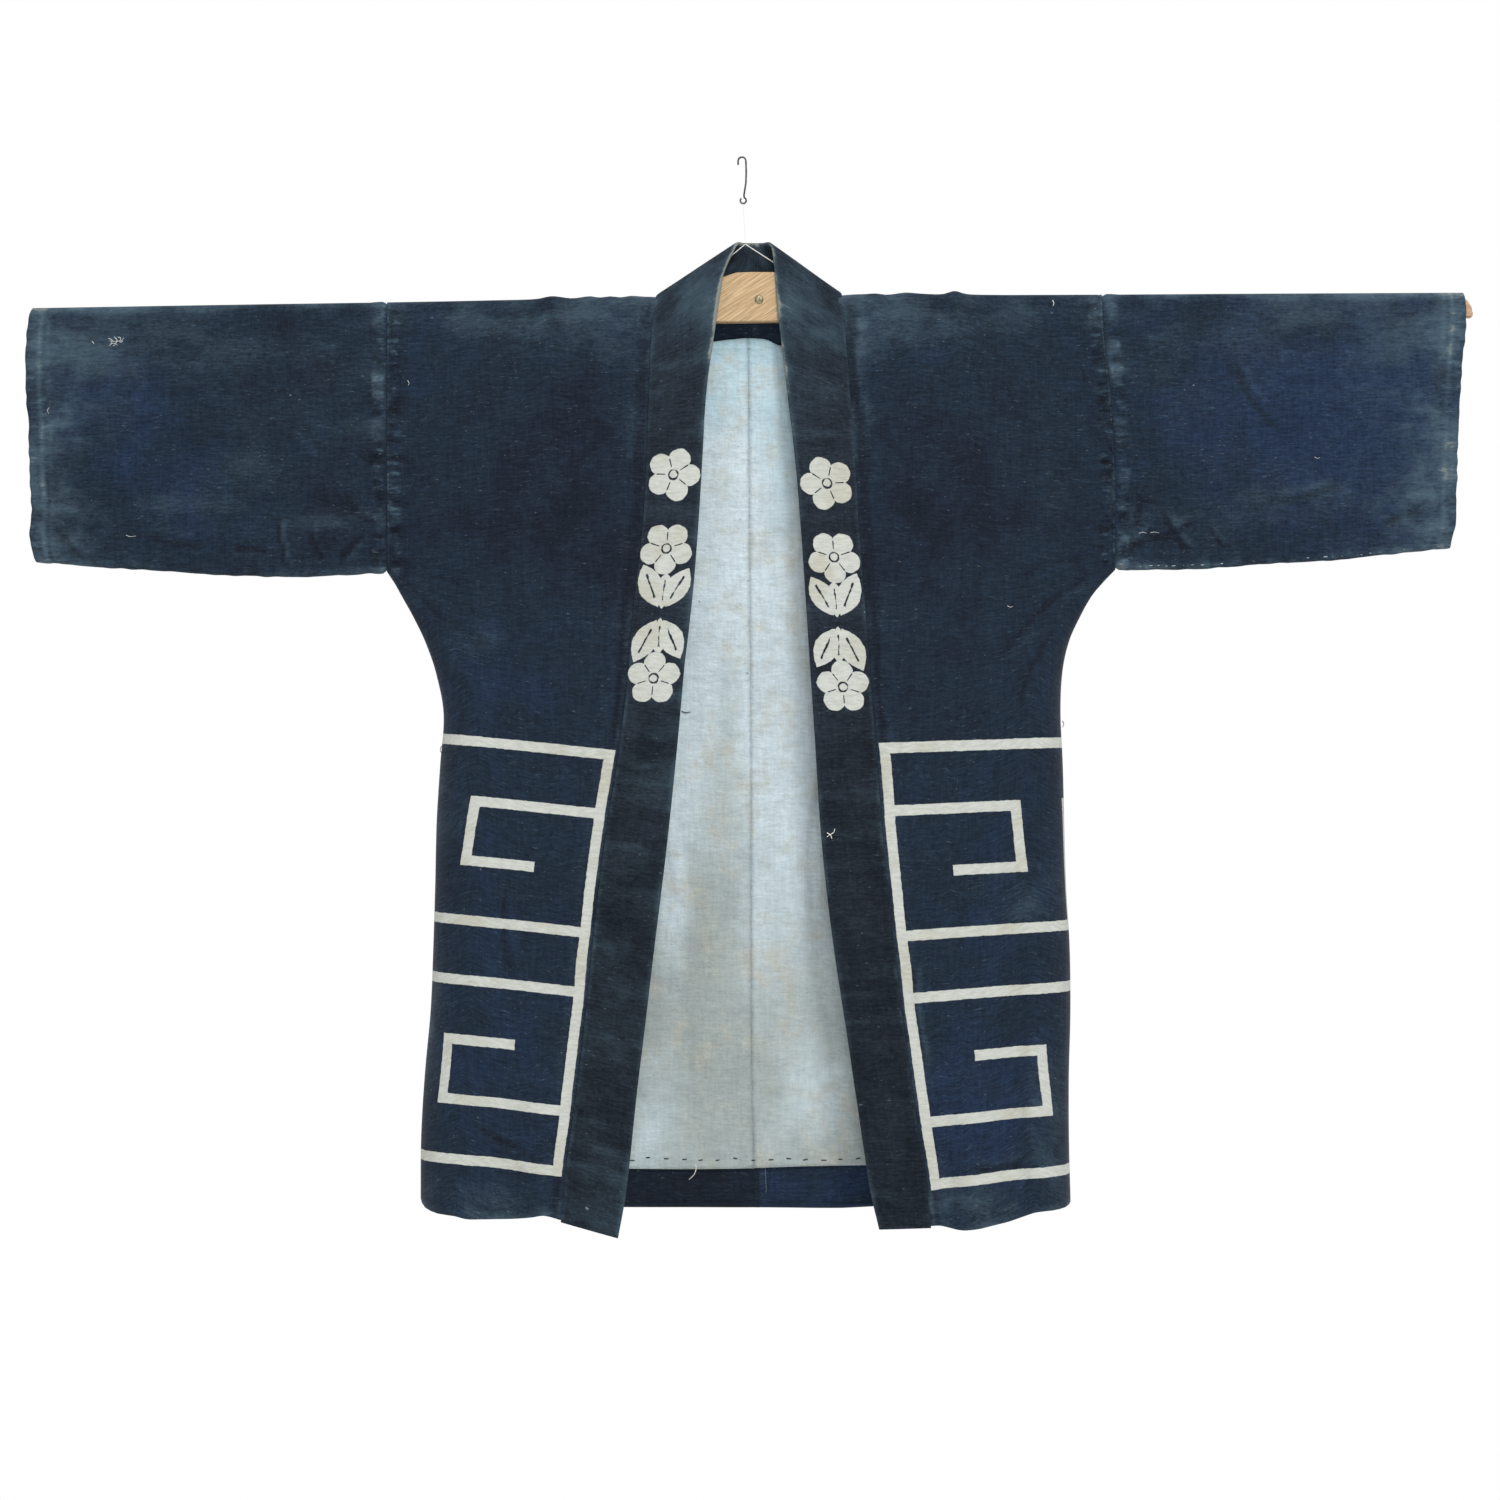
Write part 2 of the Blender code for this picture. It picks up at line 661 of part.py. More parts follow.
def back_lining(side):
    """Half of the lining, which lies on the inside of the back."""
    sign = dict(SIDES)[side]
    apart = (WALL + LINING_WALL) / 2 + LINING_GAP
    points = []
    for r in range(LINING_ROWS):
        for c in range(LINING_COLUMNS):
            across = c / (LINING_COLUMNS - 1)
            foot = float(LINING_FOOT.at(side, across))
            down = blend(LINING_TOP_DOWN, foot, r / (LINING_ROWS - 1))
            centre = float(CENTRE_SEAM.at("x", down)) + sign * SEAM_GAP / 2
            width = LINING_WIDTH * (float(BODY_SIDE.at(side, down)) - SIDE_ROUND) - sign * centre
            x = centre + sign * width * across
            points.append((x, back_y(side, abs(x), down) - apart, down))
    quads = grid_quads(LINING_ROWS, LINING_COLUMNS)
    return cloth_object(f"back_lining_{side}", points, quads, LINING_WALL, "pale_blue")


def back_y(side, reach, down):
    """Depth of the back sheet at a place, between the rows that shape it."""
    sign = dict(SIDES)[side]
    ys, downs = [], []
    for row in BACK_ROWS[side]:
        inner_y = float(HANG.at("back", down)) + fold_height(FOLDS, side, "back", reach, down)
        run = sign * row[:, 0]
        ys.append(inner_y if reach < run[0] else np.interp(reach, run, row[:, 1]))
        downs.append(np.interp(reach, run, row[:, 2]))
    return float(np.interp(down, downs, ys))


def back_rows(side):
    edge = armhole_edge(side)
    last = ROWS_TO_ARMHOLE + len(BODY_ROWS)
    return [sheet_row(side, "back", row, edge) for row in range(FIRST_HANGING, last)]


def collar():
    """One doubled band from hem to hem: up one front, folded at the neck, and down the other."""
    seams, frees = [], []
    for side, sign in SIDES:
        seam, free = collar_half(side, sign)
        if side == "left":
            seam, free = seam[::-1], free[::-1]
        seams.extend(seam)
        frees.extend(free)
    seam_end, free_end = neck_centre()
    seams.insert(len(seams) // 2, seam_end)
    frees.insert(len(frees) // 2, free_end)

    points = []
    for a, e in zip(np.array(seams, float), np.array(frees, float)):
        for c in range(COLLAR_ACROSS + 1):
            t = c / COLLAR_ACROSS
            point = blend(a, e, t)
            crown = np.clip((point[1] - TURN_MIDDLE) / CROWN_FADE, -1, 1)
            point[1] += COLLAR_CROWN * crown * math.sin(math.pi * t)
            points.append(point)
    quads = grid_quads(len(seams), COLLAR_ACROSS + 1)
    return cloth_object("collar", points, quads, COLLAR_WALL, "indigo_collar")


def neck_centre():
    """Seam and free edge of the collar in the middle of the back neck."""
    seam_x = float(CENTRE_SEAM.at("x", NECK_LEVEL))
    seam_y = float(HANG.at("back", NECK_LEVEL)) + COLLAR_PROUD
    free_x = sum(COLLAR_TOP_CORNER.values()) / 2
    return (seam_x, seam_y, NECK_CENTRE_DOWN), (free_x, COLLAR_TOP_BACK, COLLAR_TOP_DOWN)


def neckline(side, t):
    """Down of the collar's seam across the back neck, t from the centre (0) to a corner (1)."""
    return blend(NECK_CENTRE_DOWN, crest_start(side) - SEAM_GAP, t**3)


def collar_half(side, sign):
    """Seam and free edge of half the collar, from its foot to the middle of the back neck."""
    seam, free = [], []
    seam_foot, free_foot = COLLAR_FOOT[side]
    fan_end = crest_start(side) + FOLD_HEIGHT / 2
    legs = (
        (seam_foot, COLLAR_FAN_DOWN, free_foot, COLLAR_FAN_DOWN, COLLAR_STEPS["front"]),
        (COLLAR_FAN_DOWN, fan_end, COLLAR_FAN_DOWN, COLLAR_FAN_TOP, COLLAR_STEPS["fan"]),
    )
    for seam_from, seam_to, free_from, free_to, steps in legs:
        for step in range(steps):
            a = blend(seam_from, seam_to, step / steps)
            e = blend(free_from, free_to, step / steps)
            seam_y = float(HANG.at("front", a)) - COLLAR_PROUD
            seam.append((sign * float(SEAM.at(side, a)), seam_y, a))
            free_y = float(HANG.at("front", e)) - float(FREE_EDGE.at("lean", e))
            free.append((sign * float(FREE_EDGE.at(side, e)), free_y, e))

    # Over the fold: the seam end beside the shoulder's fold, the free edge over the top corner.
    start = crest_start(side)
    front, back = float(RIDGE.at("front", 0)), float(RIDGE.at("back", 0))
    middle, half = (front + back) / 2, (back - front) / 2
    fold = [(-a, d) for a, d in FOLD.rows[::-1]] + [(a, d) for a, d in FOLD.rows[1:]]
    neck = sign * (NECK[side] - SEAM_GAP)
    corner = COLLAR_TOP_CORNER[side]
    for (across, drop), (inward, y, top_drop) in zip(fold, TOP_TURN.rows):
        seam_y = middle + across * (half + COLLAR_PROUD)
        seam.append((neck, seam_y, start - FOLD_HEIGHT * (1 - drop) - COLLAR_PROUD))
        free.append((corner - sign * inward, y, COLLAR_TOP_DOWN + top_drop))

    # Across the back of the neck, to just short of its middle.
    seam_end, free_end = neck_centre()
    last_seam, last_free = seam[-1], free[-1]
    for step in range(1, COLLAR_STEPS["back"]):
        t = step / COLLAR_STEPS["back"]
        seam.append((blend(last_seam[0], seam_end[0], t), seam_end[1], neckline(side, 1 - t)))
        free.append((blend(last_free[0], free_end[0], t), free_end[1], COLLAR_TOP_DOWN))
    return seam, free


def crest_start(side):
    """Down of the front end of the shoulder's fold beside the neck."""
    sign = dict(SIDES)[side]
    return float(crest(sign * (NECK[side] + SEAM_GAP))) + FOLD_HEIGHT


# ---- Hanger, thread and hook ---------------------------------------------------------------------
def bar():
    """The long lath that reaches through both sleeves, bowed by the coat's weight."""
    left, right = BAR_ENDS
    length = (right - left) * MM
    middle = (left + right) / 2
    form = bmesh.new()
    bmesh.ops.create_cube(form, size=1.0)
    bmesh.ops.scale(form, verts=form.verts, vec=(length, BAR_DEPTH * MM, BAR_HEIGHT * MM))
    top_ends = []
    for edge in form.edges:
        ends = [vert.co for vert in edge.verts]
        if min(end.z for end in ends) > 0 and abs(ends[0].x - ends[1].x) < MM:
            top_ends.append(edge)
    radius = BAR_END_RADIUS * MM
    bmesh.ops.bevel(form, geom=top_ends, offset=radius, segments=4, profile=0.5, affect="EDGES")
    for step in range(1, BAR_STEPS):
        cut = (step / BAR_STEPS - 0.5) * (length - 4 * radius)
        geometry = form.verts[:] + form.edges[:] + form.faces[:]
        bmesh.ops.bisect_plane(form, geom=geometry, plane_co=(cut, 0, 0), plane_no=(1, 0, 0))
    for vert in form.verts:
        x = middle + vert.co.x / MM
        vert.co.z += (BAR_TOP - bar_top(x)) * MM
    mesh = bpy.data.meshes.new("hanger_bar")
    form.to_mesh(mesh)
    form.free()
    obj = bpy.data.objects.new("hanger_bar", mesh)
    COAT.objects.link(obj)
    depth = BAR_FRONT + BAR_DEPTH / 2
    obj.location = (middle * MM, depth * MM, -(BAR_TOP + BAR_HEIGHT / 2) * MM)
    mesh.materials.append(material("wood"))
    edges = obj.modifiers.new("edges", "BEVEL")
    edges.width = BAR_EDGE * MM
    edges.segments = 1
    edges.limit_method = "ANGLE"
    edges.angle_limit = math.radians(50)
    return obj


def board_outline():
    left, right = BOARD_ENDS
    slope_left, slope_right = BOARD_SLOPE_ENDS
    peak_left, peak_right = BOARD_PEAK
    corner = BOARD_CORNER

    def shoulder(x):
        return bar_top(x) - BOARD_RISE

    return [
        (left, shoulder(left) + corner),
        (left + corner * 0.3, shoulder(left) + corner * 0.3),
        (left + corner, shoulder(left)),
        (slope_left, shoulder(slope_left)),
        (blend(slope_left, peak_left, 0.5), blend(shoulder(slope_left), BOARD_PEAK_DOWN, 0.52)),
        (peak_left - 9, BOARD_PEAK_DOWN + 3.4),
        (peak_left, BOARD_PEAK_DOWN + 0.5),
        (peak_left + 12, BOARD_PEAK_DOWN),
        (peak_right, BOARD_PEAK_DOWN),
        (slope_right, shoulder(slope_right)),
        (right - corner, shoulder(right)),
        (right - corner * 0.3, shoulder(right) + corner * 0.3),
        (right, shoulder(right) + corner),
        (right, BOARD_BOTTOM_DOWN - right * BAR_TILT),
        (left, BOARD_BOTTOM_DOWN - left * BAR_TILT),
    ]


def flat_curve(name, outlines, thickness, edge):
    """A flat board standing in the x-z plane, with its edges rounded."""
    curve = bpy.data.curves.new(name, "CURVE")
    curve.dimensions = "2D"
    curve.fill_mode = "BOTH"
    curve.extrude = (thickness / 2 - edge) * MM
    curve.bevel_depth = edge * MM
    curve.bevel_resolution = 0
    curve.offset = -edge * MM
    for outline in outlines:
        spline = curve.splines.new("POLY")
        spline.points.add(len(outline) - 1)
        for point, (x, down) in zip(spline.points, outline):
            point.co = (x * MM, -down * MM, 0.0, 1.0)
        spline.use_cyclic_u = True
    return curve


def board():
    """The short board with a raised middle, screwed to the front of the bar."""
    hole = SCREW_SHANK + SEAM_GAP
    circle = []
    for turn in np.radians(np.arange(0, 360, 30)):
        circle.append((SCREW_X + hole * math.cos(turn), SCREW_DOWN + hole * math.sin(turn)))
    thickness = BOARD_BACK - BOARD_FRONT
    curve = flat_curve("hanger_board", [board_outline(), circle], thickness, BOARD_EDGE)
    curve.materials.append(material("wood"))
    obj = bpy.data.objects.new("hanger_board", curve)
    COAT.objects.link(obj)
    obj.rotation_euler = (math.pi / 2, 0, 0)
    obj.location = (0, (BOARD_FRONT + BOARD_BACK) / 2 * MM, 0)
    return obj


def screw():
    """Round-headed screw: its head on the board's face and its shank in the board's hole."""
    profile = [
        (0.0, -2.2),
        (1.5, -2.0),
        (2.8, -1.3),
        (SCREW_HEAD, -0.3),
        (SCREW_HEAD, 0.0),
        (SCREW_SHANK, 0.0),
        (SCREW_SHANK, 7.6),
        (0.0, 9.4),
    ]
    mesh = bpy.data.meshes.new("hanger_screw")
    verts = [(radius * MM, 0.0, -along * MM) for radius, along in profile]
    mesh.from_pydata(verts, [(i, i + 1) for i in range(len(verts) - 1)], [])
    mesh.materials.append(material("steel"))
    obj = bpy.data.objects.new("hanger_screw", mesh)
    COAT.objects.link(obj)
    turn = obj.modifiers.new("turned", "SCREW")
    turn.steps = turn.render_steps = 16
    turn.use_merge_vertices = True
    turn.merge_threshold = 0.00005
    obj.rotation_euler = (math.pi / 2, 0, 0)
    obj.location = (SCREW_X * MM, (BOARD_FRONT - SEAM_GAP) * MM, -SCREW_DOWN * MM)
    return obj


def wire(name, route, radius, colour, closed=False, sides=2):
    """A round wire along a route of points in millimetres."""
    curve = bpy.data.curves.new(name, "CURVE")
    curve.dimensions = "3D"
    curve.bevel_depth = radius * MM
    curve.bevel_resolution = sides
    curve.use_fill_caps = not closed
    spline = curve.splines.new("POLY")
    spline.points.add(len(route) - 1)
    for point, place in zip(spline.points, metres(route)):
        point.co = (*place, 1.0)
    spline.use_cyclic_u = closed
    curve.materials.append(material(colour))
    obj = bpy.data.objects.new(name, curve)
    COAT.objects.link(obj)
    return obj


def hook_route():
    """The hook's tip, its bend over the origin, the stem, and the ring below."""
    reach = HOOK_BEND + HOOK_WIRE
    points = [(-reach, 0.0, HOOK_TIP_DOWN)]
    for turn in np.radians(np.linspace(180, 0, 9)):
        points.append((reach * math.cos(turn), 0.0, HOOK_BEND - reach * math.sin(turn)))
    points += [(x, 0.0, down) for x, down in HOOK_STEM]
    x, down = RING_CENTRE
    for step in range(13):
        turn = math.radians(70 - 25 * step)
        depth = RING_RISE * (step - RING_START)
        points.append((x + RING_RADIUS * math.cos(turn), depth, down - RING_RADIUS * math.sin(turn)))
    return points


def hook():
    return wire("hanger_hook", hook_route(), HOOK_WIRE, "steel")


def thread():
    """The white thread tied to the board on both sides, with its peak at the knot."""
    x, y, down = THREAD_KNOT
    left, right = THREAD_FEET
    lift = THREAD + THREAD_LIFT
    left_foot = np.array((left, THREAD_FOOT_Y, board_top(left) - lift))
    right_foot = np.array((right, THREAD_FOOT_Y, board_top(right) - lift))
    left_shoulder = np.array((x - THREAD_TURN, y, down + THREAD_TURN / 2))
    right_shoulder = np.array((x + THREAD_TURN, y, down + THREAD_TURN / 2))
    shares = np.linspace(0, 1, 5)
    route = [blend(left_foot, left_shoulder, t) for t in shares]
    route.append((x, y, down))
    route += [blend(right_shoulder, right_foot, t) for t in shares]
    return wire("hang_thread", route, THREAD, "thread", sides=1)


def board_top(x):
    outline = np.array(board_outline()[:-2])
    return float(np.interp(x, outline[:, 0], outline[:, 1]))


def loop():
    """The clear filament looped through the hook's ring and under the thread's knot."""
    ring_x, ring_down = RING_CENTRE
    top = ring_down + RING_RADIUS - HOOK_WIRE - LOOP - 0.35
    x, y, down = THREAD_KNOT
    foot = down + THREAD + LOOP + 0.7
    half = 1.5
    route = []
    for step in range(7):
        turn = math.radians(180 - 30 * step)
        route.append((ring_x, 0.57 + half * math.cos(turn), top + half - half * math.sin(turn)))
    route.append((blend(ring_x, x, 0.5), y / 2 + 1.3, blend(top, foot, 0.5)))
    for step in range(7):
        turn = math.radians(-30 * step)
        route.append((x, y + half * math.cos(turn), foot - half - half * math.sin(turn)))
    route.append((blend(ring_x, x, 0.5), y / 2 - 0.4, blend(top, foot, 0.5)))
    return wire("hang_loop", route, LOOP, "thread", closed=True, sides=1)


def clear_scene():
    for obj in list(bpy.data.objects):
        bpy.data.objects.remove(obj, do_unlink=True)


clear_scene()
COAT = bpy.data.collections.new("happi_coat")
bpy.context.scene.collection.children.link(COAT)
BACK_ROWS = {side: back_rows(side) for side, _ in SIDES}
for SIDE in BACK_ROWS:
    body_panel(SIDE)
    sleeve(SIDE)
    back_lining(SIDE)
collar()
bar()
board()
screw()
thread()
loop()
hook()
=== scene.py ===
"""Dresses the happi coat: shells of cloth on the solids' form, their wear, print and sewing.

Sizes are in millimetres. x runs to the wearer's left, y from front to back, and "down" is the
distance below the inside of the hook's bend, which is the origin.
"""

import math

import bmesh
import bpy
import mathutils
import numpy as np
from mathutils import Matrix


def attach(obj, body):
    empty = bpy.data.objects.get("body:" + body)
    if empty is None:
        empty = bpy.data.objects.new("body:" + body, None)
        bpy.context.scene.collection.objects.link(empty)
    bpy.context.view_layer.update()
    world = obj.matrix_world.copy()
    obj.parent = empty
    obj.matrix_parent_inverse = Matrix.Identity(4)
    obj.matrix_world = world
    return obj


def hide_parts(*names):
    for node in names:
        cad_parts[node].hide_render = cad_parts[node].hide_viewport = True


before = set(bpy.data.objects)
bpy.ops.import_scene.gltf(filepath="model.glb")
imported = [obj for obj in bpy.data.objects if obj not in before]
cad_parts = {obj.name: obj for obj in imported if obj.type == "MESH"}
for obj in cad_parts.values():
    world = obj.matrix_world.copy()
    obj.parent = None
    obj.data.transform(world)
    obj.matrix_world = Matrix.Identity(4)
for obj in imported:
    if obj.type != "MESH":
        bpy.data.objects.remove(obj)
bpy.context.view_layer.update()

MM = 0.001
SIDES = (("right", -1), ("left", 1))  # the wearer's
SIGN = dict(SIDES)


class Table:
    """Rows of numbers under named columns, read as smooth curves over the first column."""

    def __init__(self, columns, *rows):
        self.columns = columns.split()
        self.rows = np.array(rows, float)

    def column(self, name):
        return self.rows[:, self.columns.index(name)]

    def at(self, name, key):
        keys, values = self.rows[:, 0], self.column(name)
        slopes = np.gradient(values, keys)
        key = np.clip(np.asarray(key, float), keys[0], keys[-1])
        i = np.clip(np.searchsorted(keys, key) - 1, 0, len(keys) - 2)
        step = keys[i + 1] - keys[i]
        t = (key - keys[i]) / step
        value = values[i] * (1 + 2 * t) * (1 - t) ** 2 + values[i + 1] * t * t * (3 - 2 * t)
        return value + step * t * (1 - t) * (slopes[i] * (1 - t) - slopes[i + 1] * t)


# ---- Wooden hanger ----
BAR_TOP = 124.3  # down, at x = 0
BAR_TILT = math.tan(math.radians(0.62))  # the wearer's left end hangs higher
BAR_BOW = 2.3  # how far the ends droop
BAR_REACH = 630.0

BOARD_ENDS = (-182.0, 197.0)
BOARD_FRONT = -9.0
BOARD_RISE = 0.5  # its shoulders stand this far above the bar
BOARD_RAMP = 8.0  # the cloth comes up to them over this width beyond each end
PAST_BOARD = 400.0  # a reach where the bar is alone

SCREW_X, SCREW_DOWN = 14.9, 124.7
SCREW_HEAD = 3.8  # radius

# ---- Cloth ----
WALL = 1.5  # shell cotton with its seam layers
LINING_WALL = 1.0
SEAM_GAP = 0.5
COLLAR_GAP = 0.85
CREST_CLEAR = 1.7  # middle of the wall above the wood

# The fold over the hanger, as shares of its half depth and of FOLD_HEIGHT.
FOLD_HEIGHT = 6.0
FOLD = Table("across drop", (0, 0), (0.64, 0.06), (0.95, 0.42), (1, 1))

# Front and back of the fold: over the board, and over the bar alone.
RIDGE = Table(
    "reach front back",
    (0, -11, 10.4), (202, -11, 10.4), (228, -7.5, 10.8), (268, -3.6, 11.1), (300, -2.2, 11.2),
    (640, -2.2, 11.2),
)

# Small gathers where the shoulder cloth is caught on the board: x and height of each bump.
GATHER_WIDTH = 6.5
GATHERS = Table(
    "x height",
    (-167, 2.2), (-134, 1.6), (-115, 1.3), (-96, 1.6), (-82, 0.9), (102, 1), (115, 1.4),
    (141, 2.2), (164, 1.5), (186, 3),
)

# Body: y of the hanging front and back sheets, and of the side seam between them.
HANG = Table(
    "down front back side",
    (120, -11, 10.4, 4.5), (135, -11.3, 10.6, 4.5), (200, -15, 11.6, 4), (300, -21, 12.8, 3),
    (365, -25, 13.6, 2), (450, -32, 15, -2), (600, -39, 17, -8), (750, -44, 18.5, -12),
    (930, -50, 20, -15),
)

# Outline of the body below the armholes, as the distance of each side from x = 0.
BODY_SIDE = Table(
    "down right left",
    (360, 310.4, 326.5), (379, 299.8, 308.6), (400, 288, 296), (424, 276.4, 285.2),
    (450, 267.4, 279.7), (475, 261.6, 278), (500, 260, 278.4), (545, 264.8, 280.5),
    (610, 266.6, 281.2), (690, 268.8, 285.4), (760, 272, 285.8), (818, 277.6, 284.2),
    (870, 279.6, 285), (930, 279.6, 286.6),
)
ARMHOLE_DOWN = {"right": 361.8, "left": 359.8}
SIDE_CORNER = 4.0  # radius of the seam at the armhole's foot
SIDE_ROUND = 31.0  # width of the body's rounded side at the hem
FULLNESS = Table("down share", (360, 0), (385, 0.22), (420, 0.62), (460, 0.9), (500, 1), (930, 1))
HEM_DOWN = 908.5  # mean level of the hem at the side seams
HEM_FLAT = 0.88  # share of the hem's width that the flat run takes

# How the sheets leave the hanger: over these heights the crest's ripples fade and the sheet falls
# from the ridge to its hang, and over this width beside the board it stays off the bar.
RIPPLE_FADE = 60.0
SETTLE = 150.0
BOARD_FADE = 90.0
EDGE_TURN = 0.4  # share of the width where the sheet starts towards the side seam

# Lower edge of each sheet, by the share of its width from the inner edge to the side seam.
HEM = Table(
    "across front_right front_left back_right back_left",
    (0, 923, 928.6, 919.2, 919.2), (0.07, 920.4, 928.6, 919, 918.8),
    (0.14, 919, 930.2, 918.8, 918.2), (0.23, 920.6, 932, 918.6, 917.2),
    (0.38, 922.4, 930.8, 918.4, 916.2), (0.55, 923, 927.2, 918.2, 916),
    (0.7, 922.8, 923.4, 918, 916), (0.84, 921.2, 918, 916.6, 915.4),
    (0.94, 916.2, 914.4, 912.8, 913), (1, 908.5, 911.4, 908.5, 911.4),
)

# Shallow waves left in every hanging sheet: height, and pitch across and down.
SLACK = 0.7
SLACK_ACROSS = 150.0
SLACK_DOWN = 420.0

# The largest folds of the sheets: x and down at the top and at the bottom, half width, and how far
# a fold stands out. It is fullest at its lower end or, where the last value is true, at its top.
FOLDS = {
    "front_right": (
        (176, 720, 171, 930, 15, 6, False), (205, 640, 214, 930, 22, -5, False),
        (232, 470, 246, 930, 20, 4, False), (292, 385, 170, 560, 22, -4, True),
        (110, 140, 140, 420, 22, -2.5, True),
    ),
    "front_left": (
        (178, 760, 177, 930, 13, -7, False), (204, 700, 198, 930, 20, 5, False),
        (240, 480, 246, 930, 22, -4.5, False), (98, 128, 116, 250, 9, -3, True),
        (300, 385, 190, 560, 22, -4, True),
    ),
    "back_right": (
        (60, 420, 66, 930, 26, 3.5, False), (150, 380, 168, 930, 28, -4, False),
        (285, 385, 190, 540, 22, 3.5, True),
    ),
    "back_left": (
        (70, 460, 74, 930, 24, -3.5, False), (170, 400, 182, 930, 30, 4, False),
        (292, 385, 200, 540, 22, 3.5, True),
    ),
}

# ---- Collar ----
# Distance from x = 0 of the collar's seam to the front, and of its free edge.
SEAM = Table(
    "down right left",
    (120, 74.9, 86.8), (160, 79.2, 90.6), (206, 81.1, 94.1), (273, 83.6, 99), (318, 86, 101.4),
    (389, 93.8, 106.6), (473, 101, 112.6), (522, 107.2, 116.6), (589, 117.6, 121.6),
    (672, 127.8, 130), (740, 134.6, 137.8), (819, 143.6, 148), (871, 151, 156.6),
    (932, 157, 163.6),
)
FREE_EDGE = Table(
    "down right left lean",
    (79, 5.4, 25, -2), (87, 12.2, 27.2, -1.4), (104, 16, 28.8, 0), (140, 21.8, 31.6, 1.4),
    (162, 25, 34.2, 2), (190, 29.2, 37.6, 2.6), (219, 32, 40.8, 3), (257, 34, 45.4, 3.6),
    (318, 37.6, 50.6, 4), (394, 43.8, 55.8, 4), (442, 49.4, 58.8, 4), (500, 54.6, 62.6, 4),
    (607, 65.6, 69.8, 4), (695, 76.4, 80.2, 4), (763, 84.4, 90.6, 4), (819, 91.2, 98.8, 4),
    (864, 95.8, 105.4, 4), (898, 99.6, 110.6, 4), (940, 107, 120.4, 4),
)
COLLAR_FOOT = {"right": (926.0, 939.6), "left": (931.0, 932.0)}  # at the seam, at the free edge
COLLAR_PROUD = 0.8  # how far it stands out from the panel beside it
COLLAR_CROWN = 0.9
CROWN_FADE = 8.0
NECK = {"right": 75.4, "left": 87.4}
NECK_CENTRE_DOWN = 132.0  # the back neckline dips a little between its corners
NECK_GAP = 1.0
NECK_LEVEL = 130.0
COLLAR_TOP_DOWN = 73.7
COLLAR_TOP_CORNER = {"right": -1.8, "left": 21.6}  # x
COLLAR_TOP_BACK = 6.2  # y of the free edge behind the neck
TURN_MIDDLE = -1.5  # y of the free edge's turn
# The free edge over the top of its fold, from front to back.
TOP_TURN = Table(
    "inward y drop",
    (-4.4, -9, 7), (-2.4, -7.8, 3), (-0.9, -4.9, 0.9), (0, -1.5, 0.1), (0.9, 1.9, 0),
    (2.2, 4.6, 0), (4.4, 6.2, 0),
)
COLLAR_FAN_DOWN = 245.0  # above this level the band turns towards its fold
COLLAR_FAN_TOP = 82.0
COLLAR_STEPS = {"front": 21, "fan": 8, "back": 5}

# ---- Lining ----
LINING_TOP_DOWN = 159.0
LINING_FOOT = Table(
    "across right left",
    (0, 885.6, 885.4), (0.3, 886.6, 883), (0.6, 885.4, 882.6), (1, 885, 882.6),
)
LINING_GAP = 0.9
LINING_WIDTH = 0.86  # share of the back's flat width
LINING_ROWS, LINING_COLUMNS = 17, 9
CENTRE_SEAM = Table("down x", (120, 5), (160, 5.2), (520, 7.8), (885, 10.6), (930, 12.4))

# ---- Sleeves ----
# Armhole and cuff, as distances from x = 0, by the share of the sleeve's height.
ARMHOLE = Table(
    "drop right left",
    (0, 310.4, 314.8), (0.14, 310.4, 316.4), (0.35, 310.4, 321.6), (0.6, 310.4, 325.4),
    (1, 310.4, 326.5),
)
CUFF = Table(
    "drop right left",
    (0, 620.4, 630.6), (0.05, 624.2, 633), (0.1, 625, 632.8), (0.34, 623.4, 627.8),
    (0.5, 622.2, 625.8), (0.62, 621.6, 624.4), (0.8, 620.8, 623.2), (0.95, 620, 621),
    (1, 616.4, 619),
)
# Lower edge of the sleeve, by the share of its length from armhole to cuff.
SLEEVE_FOOT = Table(
    "along right left",
    (0, 361.8, 359.8), (0.12, 364.6, 359.9), (0.26, 366, 359), (0.44, 364.8, 355),
    (0.65, 361, 351.4), (0.85, 357.2, 345.6), (1, 353, 340.8),
)
SLEEVE_BELLY = 13.5  # half depth at mid height
SLEEVE_FOOT_RADIUS = 4.0
SLEEVE_MIDDLE = (4.5, 2.0)  # y at the crest and at the seam below
# The largest folds of the sleeves, in the form of the body's.
SLEEVE_FOLDS = {
    "front_right": (
        (330, 150, 380, 366, 22, 3, False), (392, 320, 398, 366, 13, -3.5, False),
        (470, 180, 450, 362, 30, -3, False), (560, 150, 570, 360, 26, 2.5, False),
    ),
    "front_left": (
        (345, 150, 400, 360, 22, 3, False), (470, 150, 455, 356, 30, -3.5, False),
        (560, 170, 540, 350, 26, 2.5, False),
    ),
    "back_right": (
        (350, 150, 400, 366, 26, 3, False), (520, 150, 500, 362, 30, -3, False),
    ),
    "back_left": (
        (360, 150, 410, 360, 26, 3, False), (530, 150, 510, 352, 30, -3, False),
    ),
}

# Rows of the cloth: the armhole's height in shares, then the body below it.
ARMHOLE_ROWS = (0.075, 0.155, 0.27, 0.4, 0.54, 0.68, 0.81, 0.92)
FOOT_ANGLES = (90.0, 55.0, 25.0, 0.0)  # round the seam at the armhole's foot
BODY_ROWS = (0.018, 0.042, 0.075, 0.115, 0.165, 0.23, 0.31, 0.4, 0.5, 0.6, 0.7, 0.8, 0.9, 1.0)
